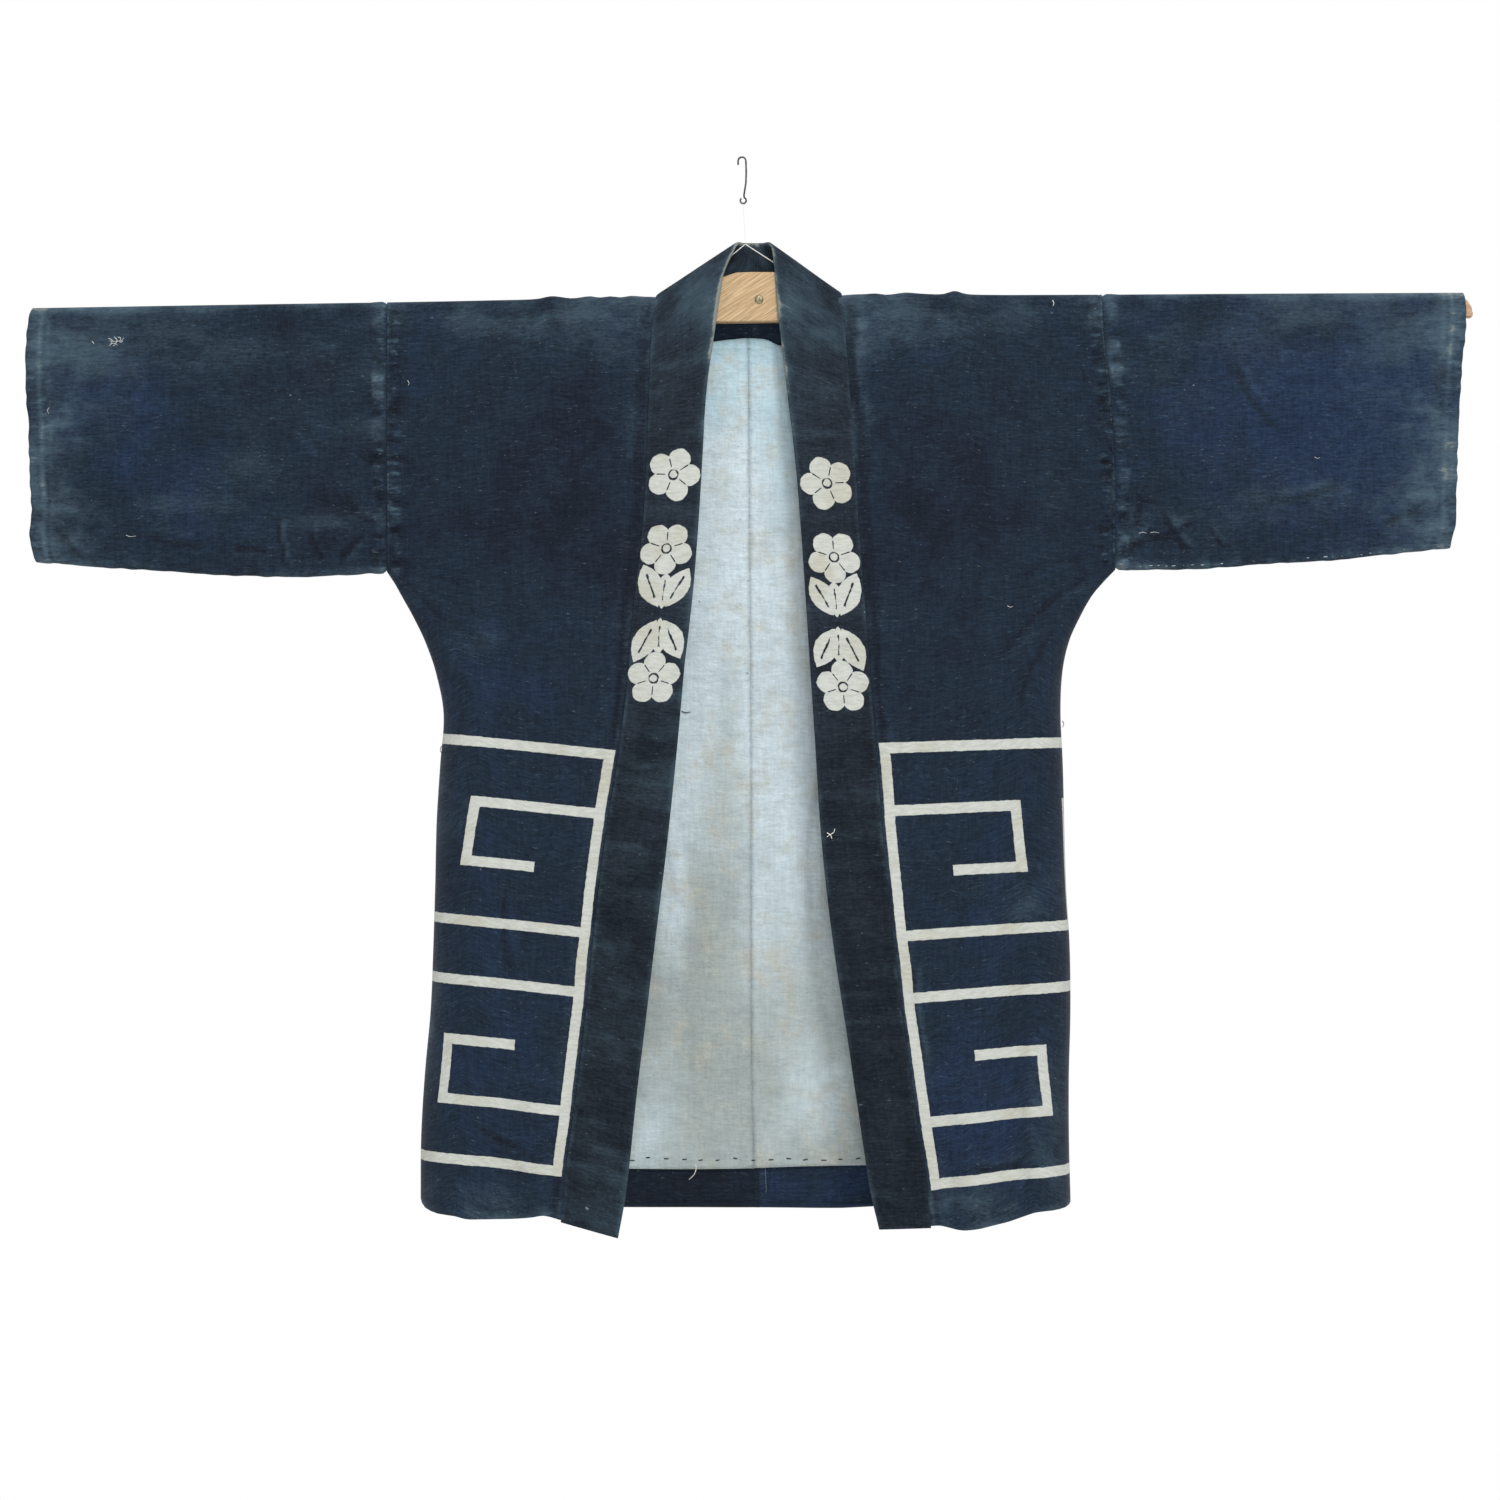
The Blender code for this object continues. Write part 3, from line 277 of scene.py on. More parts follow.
# Columns of each sheet, as shares of its flat run, closest where the shoulder is gathered.
FLAT_COLUMNS = (
    0.0, 0.045, 0.09, 0.13, 0.17, 0.21, 0.25, 0.315, 0.39, 0.44, 0.49, 0.6, 0.74, 0.88, 1.0
)
ROUND_COLUMNS = 3
NECK_COLUMNS = 3


def ease(t):
    t = np.clip(t, 0.0, 1.0)
    return t * t * (3 - 2 * t)


def blend(a, b, t):
    return a + (b - a) * t


# ---- Shape of the cloth ----
def bar_top(x):
    return BAR_TOP - x * BAR_TILT + BAR_BOW * (x / BAR_REACH) ** 2


def board_lift(x):
    left, right = BOARD_ENDS
    return BOARD_RISE * ease((x - left) / BOARD_RAMP + 1) * ease((right - x) / BOARD_RAMP + 1)


def gathers(x):
    spread = (np.asarray(x, float)[..., None] - GATHERS.column("x")) / GATHER_WIDTH
    return (GATHERS.column("height") * np.exp(-(spread**2))).sum(axis=-1)


def crest(x):
    """Down of the cloth's fold over the hanger."""
    return bar_top(x) - board_lift(x) - CREST_CLEAR - gathers(x)


def fold_height(folds, side, sheet, reach, down):
    """How far the cloth's slack and the named folds push a point out of its sheet."""
    total = SLACK * np.sin(2 * math.pi * (reach / SLACK_ACROSS + down / SLACK_DOWN))
    for top_x, top, foot_x, foot, half, height, fades in folds[f"{sheet}_{side}"]:
        t = np.clip((down - top) / (foot - top), 0.0, 1.0)
        line = blend(top_x, foot_x, t)
        strength = ease((down - top) / 60 + 0.15) * (1 - t) if fades else ease(t * 1.15)
        total = total + height * strength * np.exp(-(((reach - line) / half) ** 2))
    return total


def sleeve_half(drop, height):
    """Half depth of the sleeve's hanging tube at a distance below its crest."""
    ridge = (RIDGE.at("back", PAST_BOARD) - RIDGE.at("front", PAST_BOARD)) / 2
    t = np.clip((drop - FOLD_HEIGHT) / (height - FOLD_HEIGHT - SLEEVE_FOOT_RADIUS), 0.0, 1.0)
    belly = (SLEEVE_BELLY - ridge) * np.sin(math.pi * t**0.8) ** 1.3
    return blend(ridge, SLEEVE_FOOT_RADIUS, t) + belly


def sleeve_rows(top, foot):
    """Down and half depth of each row from the crest to the seam below."""
    height = foot - top
    ridge = sleeve_half(0.0, height)
    rows = [(top + FOLD_HEIGHT * d, ridge * a) for a, d in FOLD.rows]
    for share in ARMHOLE_ROWS:
        rows.append((top + height * share, sleeve_half(height * share, height)))
    for angle in FOOT_ANGLES:
        turn = math.radians(angle)
        rise = SLEEVE_FOOT_RADIUS * (1 - math.cos(turn))
        rows.append((foot - rise, SLEEVE_FOOT_RADIUS * math.sin(turn)))
    return rows


def sleeve_middle(drop_share):
    return blend(*SLEEVE_MIDDLE, drop_share)


ROWS_TO_ARMHOLE = len(FOLD.rows) + len(ARMHOLE_ROWS) + len(FOOT_ANGLES)
FIRST_HANGING = len(FOLD.rows) - 1


def armhole_edge(side):
    """Reach, half depth, middle and down of each row of the armhole."""
    top = crest(SIGN[side] * ARMHOLE.column(side)[0])
    foot = ARMHOLE_DOWN[side]
    edge = []
    for down, half in sleeve_rows(top, foot):
        share = (down - top) / (foot - top)
        edge.append((ARMHOLE.at(side, share), half, sleeve_middle(share), down))
    return edge


def sheet_row(side, sheet, row, edge):
    """Points of one row of a body sheet, from its inner edge to the side seam."""
    sign = SIGN[side]
    out = -1 if sheet == "front" else 1
    flat = np.array(FLAT_COLUMNS)
    turn = np.radians(np.linspace(0, 90, ROUND_COLUMNS + 1)[1:])
    across = np.concatenate([flat, 1 + np.sin(turn)])
    hem_round = np.linspace(HEM_FLAT, 1, ROUND_COLUMNS + 1)[1:]
    hem_across = np.concatenate([flat * HEM_FLAT, hem_round])
    hem = HEM.at(f"{sheet}_{side}", hem_across)

    if row < ROWS_TO_ARMHOLE:
        reach_edge, half, middle, down_edge = edge[row]
        round_x, round_y = SIDE_CORNER, max(half, SIDE_CORNER)
        level = down_edge
        share = 0.0
    else:
        share = BODY_ROWS[row - ROWS_TO_ARMHOLE]
        level = blend(ARMHOLE_DOWN[side], HEM_DOWN, share)
        reach_edge, half = BODY_SIDE.at(side, level), 0.0
        fullness = FULLNESS.at("share", level)
        middle = blend(edge[-1][2], HANG.at("side", level), fullness)
        round_x = blend(SIDE_CORNER, SIDE_ROUND, fullness)
        full_y = abs(HANG.at(sheet, level) - middle)
        round_y = blend(SIDE_CORNER, full_y, fullness)

    # Where the row runs: the fold's rows follow the crest, and the others hang from it.
    inner = NECK[side] + SEAM_GAP
    if sheet == "front" and row > FIRST_HANGING:
        if row >= ROWS_TO_ARMHOLE:
            level_at_seam = blend(ARMHOLE_DOWN[side], hem[0], share)
        else:
            level_at_seam = level
        inner = SEAM.at(side, level_at_seam) + COLLAR_GAP
    reach = np.where(
        across <= 1,
        inner + (reach_edge - round_x - inner) * across,
        reach_edge - round_x + round_x * (across - 1),
    )
    top = crest(sign * reach)
    if row <= FIRST_HANGING:
        down = top + (edge[row][3] - edge[0][3])
    elif row < ROWS_TO_ARMHOLE:
        fade = ease((edge[row][3] - edge[FIRST_HANGING][3]) / RIPPLE_FADE)
        down = edge[row][3] + (top - edge[0][3]) * (1 - fade)
    else:
        down = blend(ARMHOLE_DOWN[side], hem, share)

    ridge = RIDGE.at(sheet, reach)
    if row <= FIRST_HANGING:
        crest_y = (RIDGE.at("front", reach) + RIDGE.at("back", reach)) / 2
        y = blend(crest_y, ridge, FOLD.rows[row][0])
        return np.stack([sign * reach, y, down], axis=1)

    hang = HANG.at(sheet, level)
    settle = ease((level - edge[FIRST_HANGING][3]) / SETTLE)
    near_board = ease((RIDGE.column("reach")[3] - reach) / BOARD_FADE)
    sheet_y = blend(ridge, hang, np.maximum(settle, near_board))
    edge_y = middle + out * round_y
    y = blend(sheet_y, edge_y, ease((np.minimum(across, 1) - EDGE_TURN) / (1 - EDGE_TURN)))
    lift = fold_height(FOLDS, side, sheet, reach, down)
    y = y + out * lift * ease((1 - across) / (1 - FLAT_COLUMNS[-2]))
    end_y = middle + out * half
    round_off = np.concatenate([np.zeros(len(flat)), 1 - np.cos(turn)])
    y = np.where(across > 1, blend(edge_y, end_y, round_off), y)
    return np.stack([sign * reach, y, down], axis=1)


def back_neck_row(side, main):
    """Points of the back between the centre seam and the neck, for a row of the back."""
    sign = SIGN[side]
    corner = main[0]
    hem = HEM.at(f"back_{side}", 0.0)
    dip = NECK_CENTRE_DOWN + NECK_GAP - crest_start(side)
    centre = CENTRE_SEAM.at("x", corner[2]) + sign * SEAM_GAP / 2
    points = []
    for j in range(NECK_COLUMNS):
        t = j / NECK_COLUMNS
        x = blend(centre, corner[0], t)
        down = corner[2] + dip * (1 - t**3) * ease((hem - corner[2]) / (hem - crest_start(side)))
        y = HANG.at("back", down) + fold_height(FOLDS, side, "back", sign * x, down)
        points.append((x, y, down))
    return points


def back_y(side, reach, down):
    """Depth of the back sheet at a place, between the rows that shape it."""
    sign = SIGN[side]
    ys, downs = [], []
    for row in BACK_ROWS[side]:
        inner_y = HANG.at("back", down) + fold_height(FOLDS, side, "back", reach, down)
        run = sign * row[:, 0]
        ys.append(inner_y if reach < run[0] else np.interp(reach, run, row[:, 1]))
        downs.append(np.interp(reach, run, row[:, 2]))
    return float(np.interp(down, downs, ys))


def back_rows(side):
    edge = armhole_edge(side)
    last = ROWS_TO_ARMHOLE + len(BODY_ROWS)
    return [sheet_row(side, "back", row, edge) for row in range(FIRST_HANGING, last)]


def neck_centre():
    """Seam and free edge of the collar in the middle of the back neck."""
    seam_x = CENTRE_SEAM.at("x", NECK_LEVEL)
    seam_y = HANG.at("back", NECK_LEVEL) + COLLAR_PROUD
    free_x = sum(COLLAR_TOP_CORNER.values()) / 2
    return (seam_x, seam_y, NECK_CENTRE_DOWN), (free_x, COLLAR_TOP_BACK, COLLAR_TOP_DOWN)


def neckline(side, t):
    """Down of the collar's seam across the back neck, t from the centre (0) to a corner (1)."""
    return blend(NECK_CENTRE_DOWN, crest_start(side) - SEAM_GAP, t**3)


def collar_half(side, sign):
    """Seam and free edge of half the collar, from its foot to the middle of the back neck."""
    seam, free = [], []
    seam_foot, free_foot = COLLAR_FOOT[side]
    fan_end = crest_start(side) + FOLD_HEIGHT / 2
    legs = (
        (seam_foot, COLLAR_FAN_DOWN, free_foot, COLLAR_FAN_DOWN, COLLAR_STEPS["front"]),
        (COLLAR_FAN_DOWN, fan_end, COLLAR_FAN_DOWN, COLLAR_FAN_TOP, COLLAR_STEPS["fan"]),
    )
    for seam_from, seam_to, free_from, free_to, steps in legs:
        for step in range(steps):
            a = blend(seam_from, seam_to, step / steps)
            e = blend(free_from, free_to, step / steps)
            seam_y = HANG.at("front", a) - COLLAR_PROUD
            seam.append((sign * SEAM.at(side, a), seam_y, a))
            free_y = HANG.at("front", e) - FREE_EDGE.at("lean", e)
            free.append((sign * FREE_EDGE.at(side, e), free_y, e))

    # Over the fold: the seam end beside the shoulder's fold, the free edge over the top corner.
    start = crest_start(side)
    front, back = RIDGE.at("front", 0), RIDGE.at("back", 0)
    middle, half = (front + back) / 2, (back - front) / 2
    fold = [(-a, d) for a, d in FOLD.rows[::-1]] + [(a, d) for a, d in FOLD.rows[1:]]
    neck = sign * (NECK[side] - SEAM_GAP)
    corner = COLLAR_TOP_CORNER[side]
    for (across, drop), (inward, y, top_drop) in zip(fold, TOP_TURN.rows):
        seam_y = middle + across * (half + COLLAR_PROUD)
        seam.append((neck, seam_y, start - FOLD_HEIGHT * (1 - drop) - COLLAR_PROUD))
        free.append((corner - sign * inward, y, COLLAR_TOP_DOWN + top_drop))

    # Across the back of the neck, to just short of its middle.
    seam_end, free_end = neck_centre()
    last_seam, last_free = seam[-1], free[-1]
    for step in range(1, COLLAR_STEPS["back"]):
        t = step / COLLAR_STEPS["back"]
        seam.append((blend(last_seam[0], seam_end[0], t), seam_end[1], neckline(side, 1 - t)))
        free.append((blend(last_free[0], free_end[0], t), free_end[1], COLLAR_TOP_DOWN))
    return seam, free


def crest_start(side):
    """Down of the front end of the shoulder's fold beside the neck."""
    return crest(SIGN[side] * (NECK[side] + SEAM_GAP)) + FOLD_HEIGHT




# ---- Finishes ----
# Linear colours.
NAVY = (0.0120, 0.0210, 0.0365)
NIGHT = (0.0092, 0.0134, 0.0222)
BLUER = (0.0140, 0.0272, 0.0590)
TEAL = (0.063, 0.101, 0.134)
FIBRE = (0.20, 0.24, 0.26)
THREADBARE = (0.205, 0.225, 0.210)
BAND = (0.0080, 0.0120, 0.0178)
BAND_TEAL = (0.041, 0.068, 0.090)
PALE_BLUE = (0.551, 0.647, 0.692)
# the lining's top and foot colours; their darkness is partly painted shade
TURQUOISE = (0.365, 0.535, 0.605)
GREY_BLUE = (0.325, 0.375, 0.365)
PRINT = (0.525, 0.548, 0.505)
PRINT_STAIN = (0.445, 0.425, 0.335)


class Value:
    """A number or colour that a node works out over the surface, with the usual signs for sums."""

    def __init__(self, made, socket):
        self.made, self.socket = made, socket

    def __add__(self, other):
        return self.made.sum("ADD", self, other)

    def __sub__(self, other):
        return self.made.sum("SUBTRACT", self, other)

    def __rsub__(self, other):
        return self.made.sum("SUBTRACT", other, self)

    def __mul__(self, other):
        return self.made.sum("MULTIPLY", self, other)

    def __truediv__(self, other):
        return self.made.sum("DIVIDE", self, other)

    def __abs__(self):
        return self.made.sum("ABSOLUTE", self)

    def least(self, other):
        return self.made.sum("MINIMUM", self, other)

    def most(self, other):
        return self.made.sum("MAXIMUM", self, other)

    def ramp(self, low, high, start=0.0, end=1.0):
        settings = {"interpolation_type": "SMOOTHSTEP"}
        return self.made.out("ShaderNodeMapRange", self, low, high, start, end, **settings)


class Finish:
    """A material built up in small steps on a Principled shader."""

    def __init__(self, name, **sockets):
        self.surface = bpy.data.materials.new(name)
        self.surface.use_nodes = True
        self.tree = self.surface.node_tree
        self.shader = self.tree.nodes["Principled BSDF"]
        self.set(self.shader, **sockets)

    def put(self, socket, value):
        if isinstance(value, Value):
            self.tree.links.new(value.socket, socket)
        elif socket.type == "RGBA":
            socket.default_value = (*value, 1.0)
        else:
            socket.default_value = value

    def set(self, node, **sockets):
        for name, value in sockets.items():
            self.put(node.inputs[name.replace("_", " ")], value)
        return node

    def node(self, kind, *values, **settings):
        node = self.tree.nodes.new(kind)
        for name, value in settings.items():
            setattr(node, name, value)
        for socket, value in zip(node.inputs, values):
            self.put(socket, value)
        return node

    def out(self, kind, *values, output=0, **settings):
        return Value(self, self.node(kind, *values, **settings).outputs[output])

    def sum(self, operation, *values):
        return self.out("ShaderNodeMath", *values, operation=operation)

    def spread(self, operation, *values):
        return self.out("ShaderNodeVectorMath", *values, operation=operation)

    def attribute(self, name):
        return self.out("ShaderNodeAttribute", output="Fac", attribute_name=name)

    def place(self, layer):
        return self.out("ShaderNodeUVMap", uv_map=layer)

    def own_place(self):
        return self.out("ShaderNodeTexCoord", output="Object")

    def noise(self, vector, cells, detail=2.0, seed=0.0, rough=0.55):
        """Noise whose features are about the given size in millimetres along each axis."""
        stretched = self.spread("MULTIPLY", vector, tuple(1000.0 / c for c in cells))
        moved = self.spread("ADD", stretched, (seed * 3.7, seed * 1.9, seed * 2.3))
        texture = self.node("ShaderNodeTexNoise", noise_dimensions="3D")
        self.set(texture, Vector=moved, Scale=1.0, Detail=detail, Roughness=rough)
        return Value(self, texture.outputs[0])

    def mix(self, share, first, second, **settings):
        node = self.node("ShaderNodeMix", data_type="RGBA", **settings)
        for index, value in ((0, share), (6, first), (7, second)):  # the node's colour sockets
            self.put(node.inputs[index], value)
        return Value(self, node.outputs[2])

    def scaled(self, colour, value):
        grey = self.out("ShaderNodeCombineColor", value, value, value)
        return self.mix(1.0, colour, grey, blend_type="MULTIPLY")

    def finish(self, colour, roughness=None):
        self.set(self.shader, Base_Color=colour)
        if roughness is not None:
            self.set(self.shader, Roughness=roughness)
        return self.surface

    def bump(self, height, depth, strength=1.0):
        node = self.node("ShaderNodeBump")
        self.set(node, Height=height, Distance=depth, Strength=strength)
        self.set(self.shader, Normal=Value(self, node.outputs[0]))


CLOTH_SHINE = {"Specular_IOR_Level": 0.1, "Sheen_Weight": 0.05, "Sheen_Roughness": 0.5}


def weave(made, place):
    """Weft slubs, warp streaks and yarn, each about 0 to 1."""
    slub = made.noise(place, (13, 2.0, 50), 4, 1, 0.65).ramp(0.34, 0.70)
    warp = made.noise(place, (2.1, 22, 50), 4, 2, 0.65).ramp(0.34, 0.70)
    yarn = made.noise(place, (4.2, 1.9, 50), 3, 3, 0.75)
    return slub, warp, yarn


def print_place(made, detail, depth):
    """Place on a print in millimetres, and the roughness of the print's edge."""
    place = made.place("Print")
    flat = made.spread("MULTIPLY", place, (1000.0, 1000.0, 0.0))
    across, down, _ = (Value(made, o) for o in made.node("ShaderNodeSeparateXYZ", flat).outputs)
    return place, across, down, (made.noise(place, (5, 5, 50), detail, 9) - 0.5) * depth


def strokes(across, down, bars):
    """Distance to the nearest of the bars (across from, to, down from, to), less half a line."""
    nearest = None
    for a0, a1, d0, d1 in bars:
        aside = abs(across - (a0 + a1) / 2) - (a1 - a0) / 2
        far = aside.most(abs(down - (d0 + d1) / 2) - (d1 - d0) / 2)
        nearest = nearest.least(far) if nearest else far
    return nearest - FRET_HALF_LINE


FRET_ACROSS, FRET_DOWN = 55.0, 52.0
FRET_HEIGHT = 7 * FRET_DOWN
FRET_HALF_LINE = 4.4


def fret(made):
    """The skirt's white key fret, mirrored about its middle: 1 on the print, 0 off it."""
    place, across, down, rough = print_place(made, 2, 1.3)
    across = across + (made.noise(place, (70, 70, 50), 1, 8) - 0.5) * 3.0
    u, v, half = FRET_ACROSS, FRET_DOWN, FRET_HEIGHT / 2
    cell = made.sum("FLOORED_MODULO", across + u / 2, 3 * u) - u / 2
    bars = (
        (-u, 3 * u, 0, 0),
        (-u, 3 * u, 3 * v, 3 * v),
        (0, 0, v, 3 * v),
        (0, 2 * u, v, v),
        (2 * u, 2 * u, v, 2 * v),
        (u, 2 * u, 2 * v, 2 * v),
    )
    near = strokes(cell, half - abs(down - half), bars)
    near = near.least(strokes(across, down, ((0, 0, 0, FRET_HEIGHT),)))
    return (near.most(-FRET_HALF_LINE - across) + rough).ramp(0.35, -0.35)


def printed_colour(made, place):
    stain = made.noise(place, (42, 42, 50), 4, 12, 0.6).ramp(0.45, 0.68)
    slub = made.noise(place, (9, 2.4, 50), 4, 13, 0.65).ramp(0.3, 0.7, 0.86, 1.05)
    return made.scaled(made.mix(stain * 0.55, PRINT, PRINT_STAIN), slub)


def indigo_colour(made, place, navy, night, bluer, teal, gain):
    """Dyed cotton: mottled, yarn-streaked, paler where worn; puckers get painted light and shade.
    """
    slub, warp, yarn = weave(made, place)
    mottle = made.noise(place, (38, 46, 50), 4, 4, 0.6)
    shade = made.attribute("shade") + (mottle - 0.5) * 2.0
    colour = made.mix(shade.ramp(0.0, -0.9), navy, night)
    colour = made.mix(shade.ramp(0.0, 0.9), colour, bluer)
    level = slub * (0.42 * gain) + warp * (0.26 * gain) + yarn * (1.3 * gain)
    colour = made.scaled(colour, level + (1.0 - gain))
    pucker = made.attribute("pucker") * (made.noise(place, (13, 5, 50), 3, 15, 0.6) - 0.5)
    # painted shade in the hollows of the puckers
    colour = made.mix(pucker.ramp(-0.02, -0.14) * 0.75, colour, tuple(0.45 * c for c in night))
    smudge = made.noise(place, (52, 34, 50), 5, 5, 0.6).ramp(0.38, 0.68)
    worn = made.attribute("wear_and_painted_light") * (smudge * 0.9 + 0.5) + smudge * 0.07
    wear_and_painted_light = worn * (slub * 0.25 + yarn * 0.5 + 0.6) + (yarn - 0.5) * 0.3
    # painted highlight on the crests of the puckers
    wear_and_painted_light = wear_and_painted_light + pucker.ramp(0.03, 0.16) * 0.4
    colour = made.mix(wear_and_painted_light.ramp(0.02, 1.05), colour, teal)
    colour = made.mix(wear_and_painted_light.ramp(0.85, 1.7), colour, THREADBARE)
    speck = made.noise(place, (5.0, 1.5, 50), 2, 6).ramp(0.705, 0.76)
    colour = made.mix(speck * 0.4, colour, FIBRE)
    scratch = made.noise(place, (9, 1.5, 50), 3, 41, 0.6).ramp(0.6, 0.78)
    colour = made.mix(scratch * (smudge * 0.42 + 0.12), colour, tuple(1.4 * c for c in teal))
    lint = made.noise(place, (7.0, 6.0, 50), 1, 36).ramp(0.82, 0.86)
    colour = made.mix(lint * 0.7, colour, FIBRE)
    return colour, slub * 0.6 + warp * 0.35 + yarn + pucker * 9.0


def dyed_cloth(name, colours, gain=1.0, pattern=None, rough=None):
    """Indigo cotton with a printed pattern; "rough" is the roughness off and on the print."""
    made = Finish(name, Roughness=0.9, **CLOTH_SHINE)
    place = made.place("Cloth")
    colour, height = indigo_colour(made, place, *colours, gain)
    if pattern:
        mask = pattern(made)
        colour = made.mix(mask, colour, printed_colour(made, place))
    made.bump(height, 0.0003)
    return made.finish(colour, mask.ramp(0.0, 1.0, *rough) if rough else None)


def petals(across, down, radius, turn):
    """A blossom of five notched petals with dark slits, about the middle of its own square."""
    work = across.made.sum
    angle = (work("ARCTAN2", across, down) + turn) * 2.5
    ray, notch = abs(work("SINE", angle)), work("POWER", abs(work("COSINE", angle)), 24.0)
    far = work("SQRT", across * across + down * down)
    edge = (work("POWER", ray, 0.7) * 0.34 + 0.66) * radius
    slit = ((1.0 - notch) * far - 1.5).most(0.3 * radius - far).most(far - 0.62 * radius)
    ring = abs(far - 0.17 * radius) - 0.75
    return (far - edge).most(slit.least(ring) * -1.0)


def leaf(across, down, middle_x, middle_down, length, width, lean):
    """A pointed leaf with a dark midrib, leaning from the upright."""
    across, down = across - middle_x, down - middle_down
    cos, sin = math.cos(math.radians(lean)), math.sin(math.radians(lean))
    u, v = across * cos - down * sin, across * sin + down * cos
    half = (1.0 - v * v / (length * length / 4)) * (width / 2)
    rib = (abs(u) - 0.8).most(abs(v) - length * 0.28)
    return (abs(u) - half).most(rib * -1.0)


def blossoms(made):
    """The collar's print: one blossom, and below it two with leaves, mirrored about the middle."""
    _, across, down, rough = print_place(made, 3, 2.6)
    near = petals(across, down + 121.0, 23.5, 0.35)
    mirrored = abs(down)
    near = near.least(petals(across + 1.5, mirrored - 56.5, 23.0, 0.0))
    # Each leaf's middle, length, width and lean.
    for one in ((-12, 24, 40, 21, -24), (11, 22.5, 38, 20, 28), (0, 20, 32, 15, 2)):
        near = near.least(leaf(across, mirrored, *one))
    return (near + rough).ramp(0.4, -0.4) * abs(across).ramp(60.0, 59.0)


def lining_cloth():
    made = Finish("pale_blue_cotton", Roughness=0.88, **CLOTH_SHINE)
    place = made.place("Cloth")
    slub, warp, yarn = weave(made, place)
    shade = made.attribute("shade") + (made.noise(place, (90, 120, 50), 3, 4) - 0.5) * 1.6
    colour = made.mix(shade.ramp(-0.15, -1.3), PALE_BLUE, TURQUOISE)
    colour = made.mix(shade.ramp(0.1, 1.3), colour, GREY_BLUE)
    blotch = made.noise(place, (24, 30, 50), 6, 5, 0.72).ramp(0.47, 0.68)
    colour = made.mix(blotch * 0.5, colour, (0.475, 0.460, 0.380))
    cloud = made.noise(place, (40, 90, 50), 4, 16, 0.6).ramp(0.3, 0.7, 0.95, 1.04)
    # painted light and shade of the cloth's small crumples
    crumple_painted_light = made.noise(place, (17, 11, 50), 5, 42, 0.72).ramp(0.34, 0.66, 0.94, 1.05)
    colour = made.scaled(colour, cloud * crumple_painted_light)
    dot = made.noise(place, (9, 9, 50), 1, 7).ramp(0.785, 0.815)
    colour = made.mix(dot * 0.5, colour, (0.10, 0.10, 0.08))
    pucker = made.attribute("pucker") * (made.noise(place, (9, 7, 50), 3, 15, 0.6) - 0.5)
    # the pucker term is painted light and shade on the puckers
    colour = made.scaled(colour, slub * 0.12 + warp * 0.10 + yarn * 0.36 + pucker * 0.5 + 0.73)
    wear_and_painted_light = made.attribute("wear_and_painted_light")
    # above 0 darker, partly painted shade in the lining's creases; below 0 paler, a painted
    # highlight on the hem's ridge
    colour = made.mix(wear_and_painted_light * 0.5, colour, (0.27, 0.32, 0.33))
    colour = made.mix(wear_and_painted_light.ramp(-0.1, -0.9, 0.0, 0.6), colour, (0.70, 0.71, 0.66))
    wrinkle = made.noise(place, (24, 15, 50), 4, 17, 0.66)
    made.bump(pucker * 9.0 + slub * 0.5 + wrinkle * 13.0 + yarn, 0.00025, 0.9)
    return made.finish(colour)


def wood(name, light, dark, lean, coarse):
    """Planed wood with pores and growth bands along its grain."""
    made = Finish(name, Specular_IOR_Level=0.3, Coat_Weight=0.05, Coat_Roughness=0.4)
    turned = made.node("ShaderNodeVectorRotate", rotation_type="Y_AXIS")
    made.set(turned, Vector=made.own_place(), Angle=math.radians(lean))
    place = Value(made, turned.outputs[0])
    growth = made.noise(place, (140, 9 * coarse, 5 * coarse), 3, 21, 0.5)
    waves = abs(made.sum("SINE", growth * 26.0))
    fibre = made.noise(place, (26, 0.9, 0.9), 3, 22, 0.7)
    pores = made.noise(place, (9, 0.55, 0.55), 2, 23).ramp(0.62, 0.74)
    colour = made.mix(waves.ramp(0.1, 1.0) * 0.85, light, dark)
    colour = made.scaled(colour, fibre.ramp(0.3, 0.7, 0.72, 1.16))
    colour = made.mix(pores * 0.6, colour, tuple(0.42 * c for c in dark))
    made.bump(fibre - pores * 0.6, 0.00012, 0.5)
    return made.finish(colour, fibre.ramp(0.2, 0.8, 0.5, 0.66))


def metal(name, bright, dull, roughness):
    made = Finish(name, Metallic=1.0)
    stain = made.noise(made.own_place(), (2.5, 2.5, 2.5), 3, 31).ramp(0.35, 0.7)
    made.bump(made.noise(made.own_place(), (0.8, 0.8, 0.8), 2, 32), 0.00003, 0.5)
    rough = stain.ramp(0.0, 1.0, roughness, roughness + 0.25)
    return made.finish(made.mix(stain, bright, dull), rough)


def yarn_finish(name, light, dark):
    made = Finish(name, Roughness=0.85, **CLOTH_SHINE)
    twist = made.noise(made.own_place(), (1.2, 0.5, 1.2), 2, 41)
    return made.finish(made.mix(twist.ramp(0.3, 0.7), dark, light))


def clear_filament():
    made = Finish(
        "clear_nylon", Roughness=0.05, Specular_IOR_Level=0.2, Transmission_Weight=1.0, IOR=1.45
    )
    cloud = made.noise(made.own_place(), (4, 4, 4), 2, 42)
    return made.finish(made.mix(cloud, (1.0, 1.0, 1.0), (0.95, 0.96, 0.97)))


